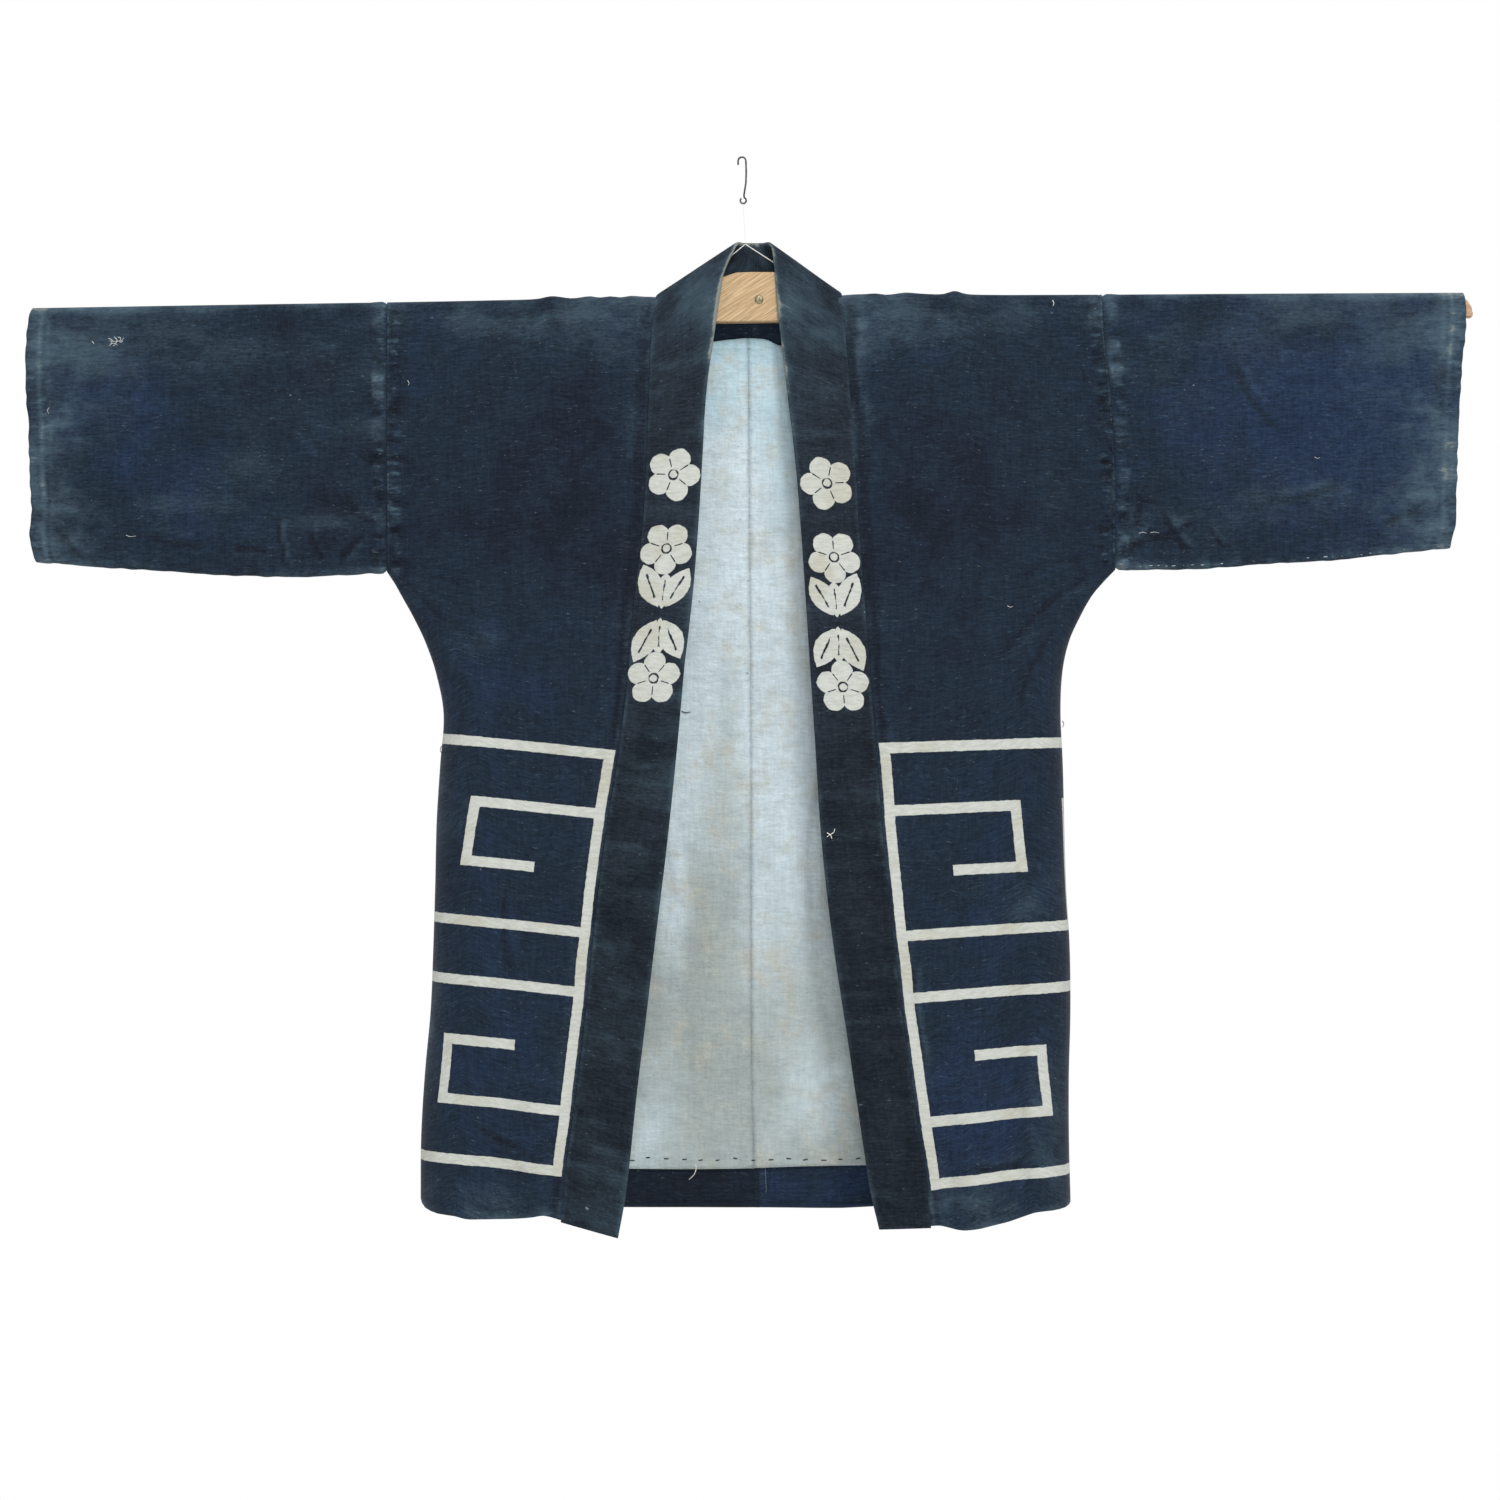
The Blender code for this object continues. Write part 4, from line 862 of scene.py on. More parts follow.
DYES = (NAVY, NIGHT, BLUER, TEAL)
COLLAR_DYES = ((0.0150, 0.0205, 0.0300), BAND, (0.0180, 0.0290, 0.0420), BAND_TEAL)
CLOTH_SHELL = dyed_cloth("indigo_cotton", DYES, pattern=fret)
CLOTH_INSIDE = dyed_cloth("indigo_cotton_inside", DYES)
CLOTH_COLLAR = dyed_cloth("collar_cotton", COLLAR_DYES, 1.1, blossoms, (0.93, 0.8))
CLOTH_LINING = lining_cloth()
DARK_THREAD = yarn_finish("indigo_thread", (0.030, 0.036, 0.050), (0.012, 0.014, 0.022))
WHITE_THREAD = yarn_finish("white_thread", (0.86, 0.85, 0.81), (0.68, 0.67, 0.63))
FADED_THREAD = yarn_finish("faded_thread", (0.15, 0.19, 0.21), (0.09, 0.12, 0.14))
PALE_FRAY = yarn_finish("frayed_cotton", (0.52, 0.54, 0.54), (0.30, 0.33, 0.35))
SCREW_FINISH = metal("screw_brass", (0.50, 0.44, 0.30), (0.20, 0.17, 0.11), 0.4)
# ---- Fine surfaces ----
SHELL, LINING_SHELL = 1.0, 0.8  # thickness of the shown cloth
LAP_WIDTH = 3.0  # how far one edge reaches under its neighbour at a seam
SPACING = 3.6  # between points of the cloth
HEM_TURN, BACK_HEM_TURN = 15.0, 3.5
CREASE_HEIGHT = 2.1
WELD = 0.00002  # metres: points nearer than this are one
NO_PRINT = -900.0  # a place outside every print
FAR = 900.0  # a distance at which a seam does nothing
BACK, FORTH = np.array([0.0, 1.0, 0.0]), np.array([0.0, -1.0, 0.0])


def along(values, t):
    """A smooth curve through the values, at positions t along their index."""
    values = np.asarray(values, float)
    last = len(values) - 1
    t = np.clip(np.asarray(t, float), 0, last)
    i = np.minimum(t.astype(int), last - 1)
    f = (t - i).reshape((-1,) + (1,) * (values.ndim - 1))
    before, after = 2 * values[:1] - values[1:2], 2 * values[-1:] - values[-2:-1]
    padded = np.concatenate([before, values, after])
    a, b, c, d = (padded[i + k] for k in range(4))
    return b + 0.5 * f * (c - a + f * (2 * a - 5 * b + 4 * c - d + f * (3 * (b - c) + d - a)))


def across(grid, t):
    return np.swapaxes(along(np.swapaxes(grid, 0, 1), t), 0, 1)


def stations(values, spacing, first=0, last=None):
    """Positions along the index that are evenly spaced by length."""
    steps = np.linalg.norm(np.diff(values, axis=0), axis=-1)
    if steps.ndim > 1:
        steps = steps.mean(axis=1)
    length = np.concatenate([[0.0], np.cumsum(steps)])
    last = len(length) - 1 if last is None else last
    count = max(2, int(round((length[last] - length[first]) / spacing)) + 1)
    places = np.linspace(length[first], length[last], count)
    return np.interp(places, length, np.arange(len(length)))


def normals(grid, outward):
    """Unit normals of a grid of points, on the side that agrees with outward."""
    normal = np.cross(np.gradient(grid, axis=0), np.gradient(grid, axis=1))
    normal /= np.maximum(np.linalg.norm(normal, axis=-1, keepdims=True), 1e-9)
    return -normal if np.median((normal * outward).sum(axis=-1)) < 0 else normal


def run(grid, axis):
    """Length along one axis of a grid from its first row or column."""
    steps = np.linalg.norm(np.diff(grid, axis=axis), axis=-1)
    pad = [(0, 0), (0, 0)]
    pad[axis] = (1, 0)
    return np.pad(np.cumsum(steps, axis=axis), pad)


def ripple(u, v, cell_u, cell_v, seed):
    """Smooth unevenness between -1 and 1 with cells of the given size."""
    lattice = np.random.RandomState(seed).uniform(-1, 1, (64, 64))
    gu, gv = u / cell_u + 13.7, v / cell_v + 29.3
    i, j = np.floor(gu).astype(int), np.floor(gv).astype(int)
    fu, fv = ease(gu - i), ease(gv - j)
    low = blend(lattice[i % 64, j % 64], lattice[(i + 1) % 64, j % 64], fu)
    high = blend(lattice[i % 64, (j + 1) % 64], lattice[(i + 1) % 64, (j + 1) % 64], fu)
    return blend(low, high, fv)


def bump(x, half):
    return np.exp(-((x / half) ** 2))


def bands(distance, *rows):
    """Soft lines along an edge: distance from it, half width and strength of each."""
    return sum(gain * bump(distance - away, half) for away, half, gain in rows)


def allowance(distance, rise, width, fall):
    """1 over the layers beside a seam, with softened edges, and 0 elsewhere."""
    return ease(distance / rise) * ease((width - distance) / fall)


def slack_cloth(u, v, seed):
    """The broad unevenness and soft wrinkles of worn cotton."""
    broad = 1.1 * ripple(u, v, 85, 120, seed)
    broad = broad + 0.8 * ripple(u + 0.4 * v, v - 0.3 * u, 46, 60, seed + 1)
    fold = np.abs(ripple(u + 0.5 * v, v - 0.6 * u, 30, 64, seed + 2))
    fine = 0.7 * np.exp(-((fold / 0.1) ** 2)) * ease(1.4 * ripple(u, v, 90, 70, seed + 3))
    return broad + fine + 0.22 * ripple(u, v, 14, 11, seed + 4)


def creases(rows, x, down):
    """Sharp creases, listed one by one: a valley with a softer ridge beside it."""
    total = np.zeros(np.shape(x))
    for x0, d0, x1, d1, half, height in rows:
        length = math.hypot(x1 - x0, d1 - d0)
        tx, td = (x1 - x0) / length, (d1 - d0) / length
        t = ((x - x0) * tx + (down - d0) * td) / length
        aside = (x - x0) * td - (down - d0) * tx + 0.06 * length * np.sin(math.pi * t)
        ends = ease(t / 0.3 + 0.35) * ease((1 - t) / 0.3 + 0.35)
        ridge = 0.7 * bump(aside - 1.6 * half, 1.3 * half)
        total += CREASE_HEIGHT * height * ends * (ridge - bump(aside, half))
    return total


def spots(rows, x, down):
    """Soft round places, listed one by one: middle, half width and height, and strength of each.
    """
    total = np.zeros(np.shape(x))
    for middle, level, wide, tall, amount in rows:
        total += amount * bump(x - middle, wide) * bump(down - level, tall)
    return total


def repeated(values, count=4):
    """A grid's values with its last row repeated, for a hem or cuff turned in below it."""
    return np.concatenate([values, np.repeat(values[-1:], count, axis=0)])


FRONTS = {}  # points of each piece's shown front, for what is sewn to it


def metres(points):
    points = np.asarray(points, float)
    return np.stack([points[..., 0], points[..., 1], -points[..., 2]], axis=-1) * MM


def grid_quads(rows, columns, closed):
    """Faces between the points of a grid, whose last column is joined to its first if closed."""
    r, c = np.arange(rows - 1)[:, None], np.arange(columns if closed else columns - 1)
    a, b = r * columns + c, r * columns + (c + 1) % columns
    return np.stack([a, b, b + columns, a + columns], axis=-1).reshape(-1, 4)


def new_mesh(name, points, faces):
    mesh = bpy.data.meshes.new(name)
    mesh.from_pydata(metres(points).tolist(), [], faces)
    return mesh


def shown(name, mesh, surface, weld=0.0):
    """An object of the mesh, its faces turned outward and its nearest points welded."""
    form = bmesh.new()
    form.from_mesh(mesh)
    if weld:
        bmesh.ops.remove_doubles(form, verts=form.verts, dist=weld)
    bmesh.ops.recalc_face_normals(form, faces=form.faces)
    form.to_mesh(mesh)
    form.free()
    mesh.shade_smooth()
    mesh.materials.append(surface)
    obj = bpy.data.objects.new(name, mesh)
    bpy.context.scene.collection.objects.link(obj)
    return obj


class Cloth:
    """Gathers grids of points, their flat places, wear and painted light, and makes one object."""

    def __init__(self, name):
        self.name = name
        self.points, self.quads = [], []
        self.layers = {"Cloth": [], "Print": []}
        self.values = {"wear_and_painted_light": [], "shade": [], "pucker": []}

    def grid(self, points, cloth, printed, wear_and_painted_light, shade, pucker=0.0, closed=False):
        first = sum(len(p) for p in self.points)
        rows, columns = points.shape[:2]
        quads = grid_quads(rows, columns, closed)
        self.points.append(points.reshape(-1, 3))
        self.quads.append(quads + first)
        for name, place in (("Cloth", cloth), ("Print", printed)):
            place = place.reshape(-1, 2)
            flat = place[quads]
            if closed:  # the last column's faces run on past the seam
                last = quads[:, 0] % columns == columns - 1
                step = place[quads[last, 0]] - place[quads[last, 0] - 1]
                flat[last, 1] = flat[last, 0] + step
                flat[last, 2] = flat[last, 3] + step
            self.layers[name].append(flat.reshape(-1, 2))
        for name, value in (("wear_and_painted_light", wear_and_painted_light), ("shade", shade), ("pucker", pucker)):
            self.values[name].append(np.broadcast_to(value, (rows, columns)).reshape(-1))

    def make(self, thickness, surface, inside=None):
        quads = np.concatenate(self.quads).tolist()
        mesh = new_mesh(self.name, np.concatenate(self.points), quads)
        for name, flats in self.layers.items():
            layer = mesh.uv_layers.new(name=name)
            layer.data.foreach_set("uv", (np.concatenate(flats) * MM).astype(np.float32).ravel())
        for name, values in self.values.items():
            store = mesh.attributes.new(name, "FLOAT", "POINT")
            store.data.foreach_set("value", np.concatenate(values).astype(np.float32))
        obj = shown(self.name, mesh, surface, WELD)
        if thickness:
            shell = obj.modifiers.new("thickness", "SOLIDIFY")
            if inside:
                mesh.materials.append(inside)
                shell.material_offset = 1
            shell.thickness = thickness * MM
            shell.offset = 0.0
        return obj


def keep(obj, slot, *nodes):
    """The piece rides on the coat's one body and stands for its nodes, which it hides."""
    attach(obj, "root")
    if nodes:
        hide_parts(*nodes)
    return obj


# ---- Body panels ----
# Sharp creases: x and down of both ends, half width and height of each.
PANEL_CREASES = {
    "front_right": (
        (-305, 350, -240, 372, 3, 0.32), (-300, 362, -215, 430, 4, 0.36),
        (-288, 388, -235, 470, 3.5, 0.3), (-262, 520, -215, 505, 3, 0.5),
        (-205, 640, -196, 720, 3, 0.6), (-230, 842, -190, 862, 3, 0.7),
    ),
    "front_left": (
        (312, 352, 240, 368, 3, 0.4), (305, 364, 225, 440, 4, 0.45),
        (290, 392, 240, 480, 3.5, 0.35), (200, 880, 245, 874, 3, 0.8),
        (150, 700, 158, 790, 3, 0.6), (98, 135, 103, 232, 4, 0.9),
    ),
    "back_right": (
        (-305, 352, -232, 376, 3, 0.5), (-298, 366, -206, 450, 4, 0.6),
        (-60, 500, -48, 660, 4, 0.8), (-140, 700, -152, 830, 3.5, 0.8),
    ),
    "back_left": (
        (310, 354, 236, 372, 3, 0.5), (303, 366, 214, 446, 4, 0.6), (70, 520, 58, 690, 4, 0.8),
        (165, 640, 180, 760, 3.5, 0.8),
    ),
}
PRINT_TOP = Table("reach right left", (90, 524.5, 517.5), (280, 507, 511.5), (300, 506, 511))
PRINT_BACK = (509.0, 879.0)  # the print's upper and lower line at the back's middle
FRAME_IN = 7.0  # the front's upright line stands this far from the collar
PRINT_FOOT = Table("reach right left", (130, 885, 898), (280, 869.5, 882), (300, 869, 881))


def panel_grids(side):
    """Fine rows of the front (crest to hem) and the back, and the back's part below the neck."""
    edge = armhole_edge(side)
    count = ROWS_TO_ARMHOLE + len(BODY_ROWS)
    front, back = (
        np.array([sheet_row(side, sheet, r, edge) for r in range(count)])
        for sheet in ("front", "back")
    )
    neck = np.array([back_neck_row(side, back[r]) for r in range(FIRST_HANGING, count)])
    whole = np.concatenate([front[:0:-1], back])
    marks = (0, FIRST_HANGING, ROWS_TO_ARMHOLE - 1, count - 1)
    rows = [stations(back, SPACING, a, b)[:-1] for a, b in zip(marks, marks[1:])]
    rows = np.concatenate([*rows, [count - 1.0]])
    columns = stations(np.swapaxes(whole, 0, 1), SPACING)
    places = np.concatenate([count - 1 - rows[:0:-1], count - 1 + rows])
    fine = across(along(whole, places), columns)
    middle = len(rows) - 1
    front, back = fine[middle::-1], fine[middle:]
    sewn = rows >= ROWS_TO_ARMHOLE - 1
    front[sewn, -1] = back[sewn, -1] = (front[sewn, -1] + back[sewn, -1]) / 2
    hanging = rows >= FIRST_HANGING
    below = along(whole, np.arange(count - 1 + FIRST_HANGING, 2 * count - 1))
    inner = np.concatenate([neck, below], axis=1)
    inner_columns = stations(np.swapaxes(inner[:, : NECK_COLUMNS + 1], 0, 1), SPACING)
    inner = across(along(inner, rows[hanging] - FIRST_HANGING), inner_columns)
    inner[:, -1] = back[hanging, 0]
    return rows, front, back, inner


PANEL_SEEDS = {"front_right": 10, "front_left": 20, "back_right": 30, "back_left": 40}


def panel_detail(side, sheet, grid, x_edge):
    """Relief of a sheet: slack, creases, and the puckers beside the armhole and the seams."""
    x, down = grid[..., 0], grid[..., 2]
    reach = np.abs(x)
    seed = PANEL_SEEDS[f"{sheet}_{side}"]
    inside = x_edge[:, None] - reach
    above = down < ARMHOLE_DOWN[side] + 4
    slack = slack_cloth(reach, down, seed) * ease((down - 122) / 40)
    fine = creases(PANEL_CREASES[f"{sheet}_{side}"], x, down)
    settled = np.where(above, ease((inside + 1) / 16), 1.0)
    crimp = ripple(down, inside, 7.5, 14, seed + 5) + 0.6 * ripple(down, inside, 3.9, 9, seed + 6)
    puckers = allowance(inside, 2, 12.5, 3) * (0.35 + 0.9 * crimp)
    puckers += crimp * bands(inside, (12, 9, 0.9))
    fine = fine * settled + np.where(above, puckers - 0.7 * bump(inside, 1.3), 0)
    return slack * settled, fine


def body_panel(side):
    """One loom width over the shoulder, its edges lapped at the seams and turned up at the hem."""
    rows, front, back, inner = panel_grids(side)
    sewn = rows >= ROWS_TO_ARMHOLE - 1
    hanging = rows >= FIRST_HANGING
    from_crest = ease((rows[:, None] - 1.2) / 2.5)  # no relief on the fold itself
    flat = {"front": front, "back": back, "neck": inner}
    shaped, normal, relief = {}, {}, {}
    for sheet, outward in (("front", FORTH), ("back", BACK)):
        grid = flat[sheet]
        normal[sheet] = normals(grid, outward)
        slack, fine = panel_detail(side, sheet, grid, np.abs(grid[:, -1, 0]))
        from_side = ease(np.arange(grid.shape[1])[::-1] * SPACING / 26)
        settled = np.where(sewn[:, None], from_side, 1.0) * from_crest
        shaped[sheet] = grid + normal[sheet] * ((slack + fine) * settled)[..., None]
        relief[sheet] = fine * settled

    # The two sheets share the side seam and the ridge.
    front, back = shaped["front"], shaped["back"]
    front[sewn, -1] = back[sewn, -1] = (front[sewn, -1] + back[sewn, -1]) / 2
    side_normal = normal["front"][sewn, -1] + normal["back"][sewn, -1]
    side_normal /= np.linalg.norm(side_normal, axis=-1, keepdims=True)
    normal["front"][sewn, -1] = normal["back"][sewn, -1] = side_normal
    front[0] = back[0] = (front[0] + back[0]) / 2

    # Below the neck, from the centre seam to the sheet's inner edge.
    normal["neck"] = normals(inner, BACK)
    normal["neck"][:, -1] = normal["back"][hanging, 0]
    slack, fine = panel_detail(side, "back", inner, np.full(len(inner), FAR))
    settled = from_crest[hanging] * ease(np.abs(inner[..., 0] - inner[:, :1, 0]) / 25)
    shaped["neck"] = inner + normal["neck"] * ((slack + fine) * settled)[..., None]
    shaped["neck"][:, -1] = back[hanging, 0]
    relief["neck"] = fine * settled

    cloth = Cloth(f"{side}_panel")
    for sheet, grid in shaped.items():
        levels = rows[hanging] if sheet == "neck" else rows
        add_sheet(cloth, side, sheet, grid, flat[sheet], normal[sheet], relief[sheet], levels)
    FRONTS[f"panel_{side}"] = front.reshape(-1, 3)
    FRONTS[f"hem_{side}"] = shaped["neck"].reshape(-1, 3)
    return keep(cloth.make(SHELL, CLOTH_SHELL, CLOTH_INSIDE), "indigo_cloth", f"panel_{side}")


# How the hem is folded under and up along the inside: how far in, the share of its turn that it
# has risen, the rise of its first two rows, and the length of cloth used.
HEM_ROWS = ((0.35, 0, -0.5, 0.6), (0.9, 0, 0.4, 1.5), (1.1, 0.5, 0, 8.0), (1.1, 1, 0, 16.0))
HEM_WEAR = np.array([[0.8], [0.3], [0.2], [0.3]])


def add_sheet(cloth, side, sheet, grid, smooth, normal, relief, rows):
    """A sheet with its lap at the inner edge and its hem turned up inside."""
    to_hem = -1 if sheet == "front" else 1
    reach = np.abs(smooth[:, :1, 0]) + run(smooth, 1)
    length = (smooth[0, 0, 2] + run(smooth, 0)) * to_hem
    places = np.stack([reach, length], axis=-1)
    printed = panel_print(side, sheet, smooth)
    # the relief's ridges get a painted highlight and its valleys painted shade
    wear_and_painted_light, shade = relief_wear_and_painted_light(*panel_wear(side, sheet, grid, rows), relief)

    turn = HEM_TURN if sheet == "front" else BACK_HEM_TURN
    turned = [
        (grid[-1] - normal[-1] * inset - [0, 0, turn * share + rise])[None]
        for inset, share, rise, _ in HEM_ROWS
    ]
    used = [places[-1:] + [0, cloth_used * to_hem] for *_, cloth_used in HEM_ROWS]
    points = np.concatenate([grid, *turned])
    places = np.concatenate([places, *used])
    below = np.repeat(printed[-1:], len(turned), axis=0) + [0, 60]
    printed = np.concatenate([printed, below])
    wear_and_painted_light = np.concatenate([wear_and_painted_light, wear_and_painted_light[-1:] * HEM_WEAR])
    pucker = 0.5 * bump(grid[-1:, :, 2] - grid[..., 2] - 10, 8)
    if sheet != "neck":
        beside = np.abs(grid[:, -1:, 0]) - np.abs(grid[..., 0])
        above = grid[..., 2] < ARMHOLE_DOWN[side]
        pucker += np.where(above, allowance(beside, 1, 16, 6), 0)
    shade = repeated(shade)
    cloth.grid(points, places, printed, wear_and_painted_light, shade, repeated(pucker))

    # The lap: under the collar on the front, and under the other half at the centre back.
    last = len(points) if sheet != "back" else int(np.argmax(rows >= FIRST_HANGING)) + 1
    if sheet != "neck" or side == "right":
        inward = -repeated(normal[:, 0])[:last]
        toward, depth = (1.0, 0.75) if sheet == "neck" else (-SIGN[side], 0.45)
        edge = points[:last, 0]
        near = edge + inward * depth * 0.8 + [toward * 0.7, 0, 0]
        far = edge + inward * depth + [toward * (LAP_WIDTH + 1), 0, 0]
        strip = np.stack([edge, near, far], axis=1)
        first = places[:last, :1]
        strip_places = np.concatenate([first, first - [1.0, 0], first - [4.5, 0]], axis=1)
        blank = np.full((last, 3, 2), NO_PRINT)
        cloth.grid(strip, strip_places, blank, wear_and_painted_light[:last, [0, 0, 0]], shade[:last, [0, 0, 0]])
    if sheet == "neck":
        strip = points[0] + np.array([[0, 0, 0], [0, -0.9, -0.8], [0, -1.3, -4.0]])[:, None]
        top_places, top_print = (np.repeat(p[:1], 3, axis=0) for p in (places, printed))
        cloth.grid(strip, top_places, top_print, wear_and_painted_light[:3] * 0, shade[:3])


def panel_print(side, sheet, grid):
    """Places for the skirt's print: out from the collar or the back's middle, and down."""
    reach, down = np.abs(grid[..., 0]), grid[..., 2]
    outward = ease((reach - 90) / 190)
    top, foot = PRINT_TOP.at(side, reach), PRINT_FOOT.at(side, reach)
    if sheet != "front":
        top, foot = blend(PRINT_BACK[0], top, outward), blend(PRINT_BACK[1], foot, outward)
    level = (down - top) / (foot - top) * FRET_HEIGHT
    out = run(grid, 1)
    if sheet == "front":
        out = out - FRAME_IN
    else:
        inner = grid[:, :1]
        centre = CENTRE_SEAM.at("x", inner[..., 2]) if sheet == "back" else inner[..., 0]
        out = out + np.abs(inner[..., 0] - centre) + FRET_ACROSS
    return np.stack([out, level], axis=-1)


# Bluer (above 0) and darker places: x, down, half width, half height and amount of each.
SHADES = {
    "front_right": (
        (-150, 300, 90, 170, -0.55), (-205, 452, 84, 62, 0.6), (-285, 420, 26, 60, -0.3),
        (-270, 170, 70, 50, 0.2), (-215, 780, 60, 150, 0.35), (-110, 150, 50, 50, 0.35),
    ),
    "front_left": (
        (170, 290, 80, 150, -0.5), (130, 180, 60, 60, 0.35), (240, 520, 50, 120, 0.15),
        (200, 840, 60, 70, 0.7), (220, 690, 70, 80, 0.2),
    ),
    "back_right": (
        (-150, 320, 110, 170, -0.4), (-120, 760, 110, 130, 0.35), (-60, 905, 140, 40, -1),
    ),
    "back_left": (
        (160, 300, 110, 160, -0.35), (140, 800, 110, 120, 0.45), (60, 905, 90, 40, 0.35),
    ),
    "lining_right": (
        (-80, 850, 26, 60, -0.5), (-60, 640, 14, 90, -0.7), (-22, 720, 22, 60, 0.35),
        (-14, 470, 12, 90, 0.5),
    ),
    "lining_left": (
        (60, 830, 50, 50, -0.45), (44, 560, 18, 70, -0.6), (92, 700, 16, 90, -0.5),
        (32, 300, 22, 70, -0.5),
    ),
}
# Rubbed places of the panels, in the same form.
PANEL_WEAR = {
    "front_right": (
        (-222, 418, 30, 34, 0.16), (-190, 146, 70, 12, 0.14), (-252, 560, 26, 40, 0.35),
        (-226, 905, 40, 16, 0.5), (-268, 760, 14, 60, 0.35),
    ),
    "front_left": (
        (150, 150, 50, 12, 0.16), (262, 290, 24, 60, 0.1), (236, 640, 40, 30, 0.35),
        (200, 905, 60, 18, 0.45), (262, 830, 20, 60, 0.4),
    ),
    "back_right": (
        (-172, 228, 60, 30, 0.22), (-92, 310, 40, 60, 0.14), (-226, 790, 46, 60, 0.28),
    ),
    "back_left": (
        (118, 196, 100, 24, 0.2), (214, 340, 46, 40, 0.18), (238, 720, 34, 80, 0.28),
    ),
}


def panel_wear(side, sheet, grid, rows):
    """Wear and shade of a sheet's fold, seams, hem and listed places."""
    x, down = grid[..., 0], grid[..., 2]
    reach = np.abs(x)
    from_hem = grid[-1, :, 2] - down
    wear_and_painted_light = 0.16 * bump(down - 150, 60) * bump(reach - 110, 60)
    shade = np.zeros(x.shape)
    if sheet == "neck":
        wear_and_painted_light += bands(from_hem, (0, 4, 0.15)) + bands(x - CENTRE_SEAM.at("x", down), (6, 4.5, 0.3))
    else:
        beside = np.where(rows < ROWS_TO_ARMHOLE, reach[:, -1], FAR)[:, None] - reach
        side_run = run(grid[:, ::-1], 1)[:, ::-1]
        wear_and_painted_light += bands(run(grid, 0), (0, 6, 0.5), (0, 42, 0.3)) + bands(from_hem, (0, 4, 0.45))
        wear_and_painted_light += bands(beside, (1, 1.4, 0.32), (7, 5, 0.06))
        at_side = bands(side_run, (0, 3, 0.35), (0, 12, 0.15))
        wear_and_painted_light += np.where(down > ARMHOLE_DOWN[side], at_side, 0)
    if sheet == "front":
        from_band = reach - reach[:, :1]
        # wear at the collar's seam, and 14 mm out a painted highlight on the ridge beside the
        # collar
        wear_and_painted_light += bands(from_band, (1.5, 2, 0.3), (14, 6, 0.12))
        # painted shade in the fold beside the collar
        shade += bands(from_band, (5, 4, -0.8))
    where = f"{sheet}_{side}".replace("neck", "back")
    return wear_and_painted_light + spots(PANEL_WEAR[where], x, down), shade + spots(SHADES[where], x, down)


def relief_wear_and_painted_light(wear_and_painted_light, shade, relief):
    """Ridges paler, partly wear and partly painted highlight; valleys darker with painted shade.
    """
    rubbed_and_lit = 0.26 * np.clip(relief - 0.12, 0, 1.2)
    # the shade term is painted shade in the relief's valleys
    return wear_and_painted_light + rubbed_and_lit, shade + 1.1 * np.clip(relief + 0.1, -1.2, 0)


# ---- Sleeves ----
# Creases, dye and rubbed places, in the form of the panels' own.
SLEEVE_CREASES = {
    "front_right": (
        (-418, 345, -446, 343, 2.5, 0.9), (-404, 318, -396, 360, 2, 0.8),
        (-330, 330, -350, 352, 3, 0.8), (-347, 298, -318, 322, 2.8, 0.7),
        (-378, 322, -366, 352, 2.2, 0.6), (-600, 322, -575, 352, 3, 0.8),
        (-612, 300, -585, 296, 2.5, 0.6), (-365, 262, -388, 236, 3.5, 0.5),
        (-520, 330, -470, 338, 4, 0.5),
    ),
    "front_left": (
        (352, 335, 395, 318, 3, 0.8), (332, 345, 362, 322, 3, 0.8),
        (341, 326, 346, 296, 2.4, 0.8), (347, 297, 366, 301, 2, 0.6),
        (369, 311, 391, 345, 3, 0.8), (408, 322, 424, 343, 2.4, 0.5),
        (470, 300, 520, 285, 3.5, 0.6), (560, 320, 600, 300, 3, 0.7),
        (430, 180, 470, 240, 4, 0.5),
    ),
    "back_right": (
        (-340, 330, -372, 350, 3, 0.8), (-480, 240, -530, 290, 3.5, 0.7),
    ),
    "back_left": (
        (345, 330, 380, 348, 3, 0.8), (500, 220, 540, 300, 3.5, 0.7),
    ),
}
SLEEVE_SHADES = {
    "front_right": (
        (-560, 220, 70, 60, 0.55), (-480, 300, 70, 60, 0.5), (-400, 240, 50, 90, -0.2),
        (-350, 310, 40, 60, -0.35), (-370, 250, 18, 20, 0.5),
    ),
    "front_left": (
        (560, 240, 90, 90, 0.95), (440, 220, 70, 70, 0.55), (370, 320, 50, 40, -0.25),
    ),
    "back_right": ((-500, 240, 90, 80, 0.4),),
    "back_left": ((500, 240, 90, 80, 0.4),),
}
SLEEVE_WEAR = {
    "front_right": (
        (-332, 236, 34, 20, 0.2), (-598, 228, 20, 62, 0.30), (-516, 168, 66, 20, 0.15),
        (-433, 268, 26, 38, 0.14), (-484, 304, 42, 11, 0.2), (-359, 318, 44, 9, 0.21),
        (-592, 305, 26, 22, 0.24),
    ),
    "front_left": (
        (600, 274, 26, 48, 0.48), (549, 284, 44, 28, 0.22), (468, 136, 96, 16, 0.17),
        (451, 302, 54, 20, 0.17), (340, 328, 26, 20, 0.15), (612, 172, 16, 44, 0.27),
    ),
    "back_right": (
        (-440, 176, 90, 22, 0.2), (-386, 286, 40, 36, 0.16), (-590, 300, 30, 50, 0.30),
    ),
    "back_left": (
        (400, 240, 44, 50, 0.16), (520, 168, 80, 20, 0.2), (596, 290, 30, 46, 0.30),
    ),
}
SLEEVE_SEEDS = {"right": 50, "left": 60}
SLEEVE_TONE = {"right": -0.08, "left": 0.08}
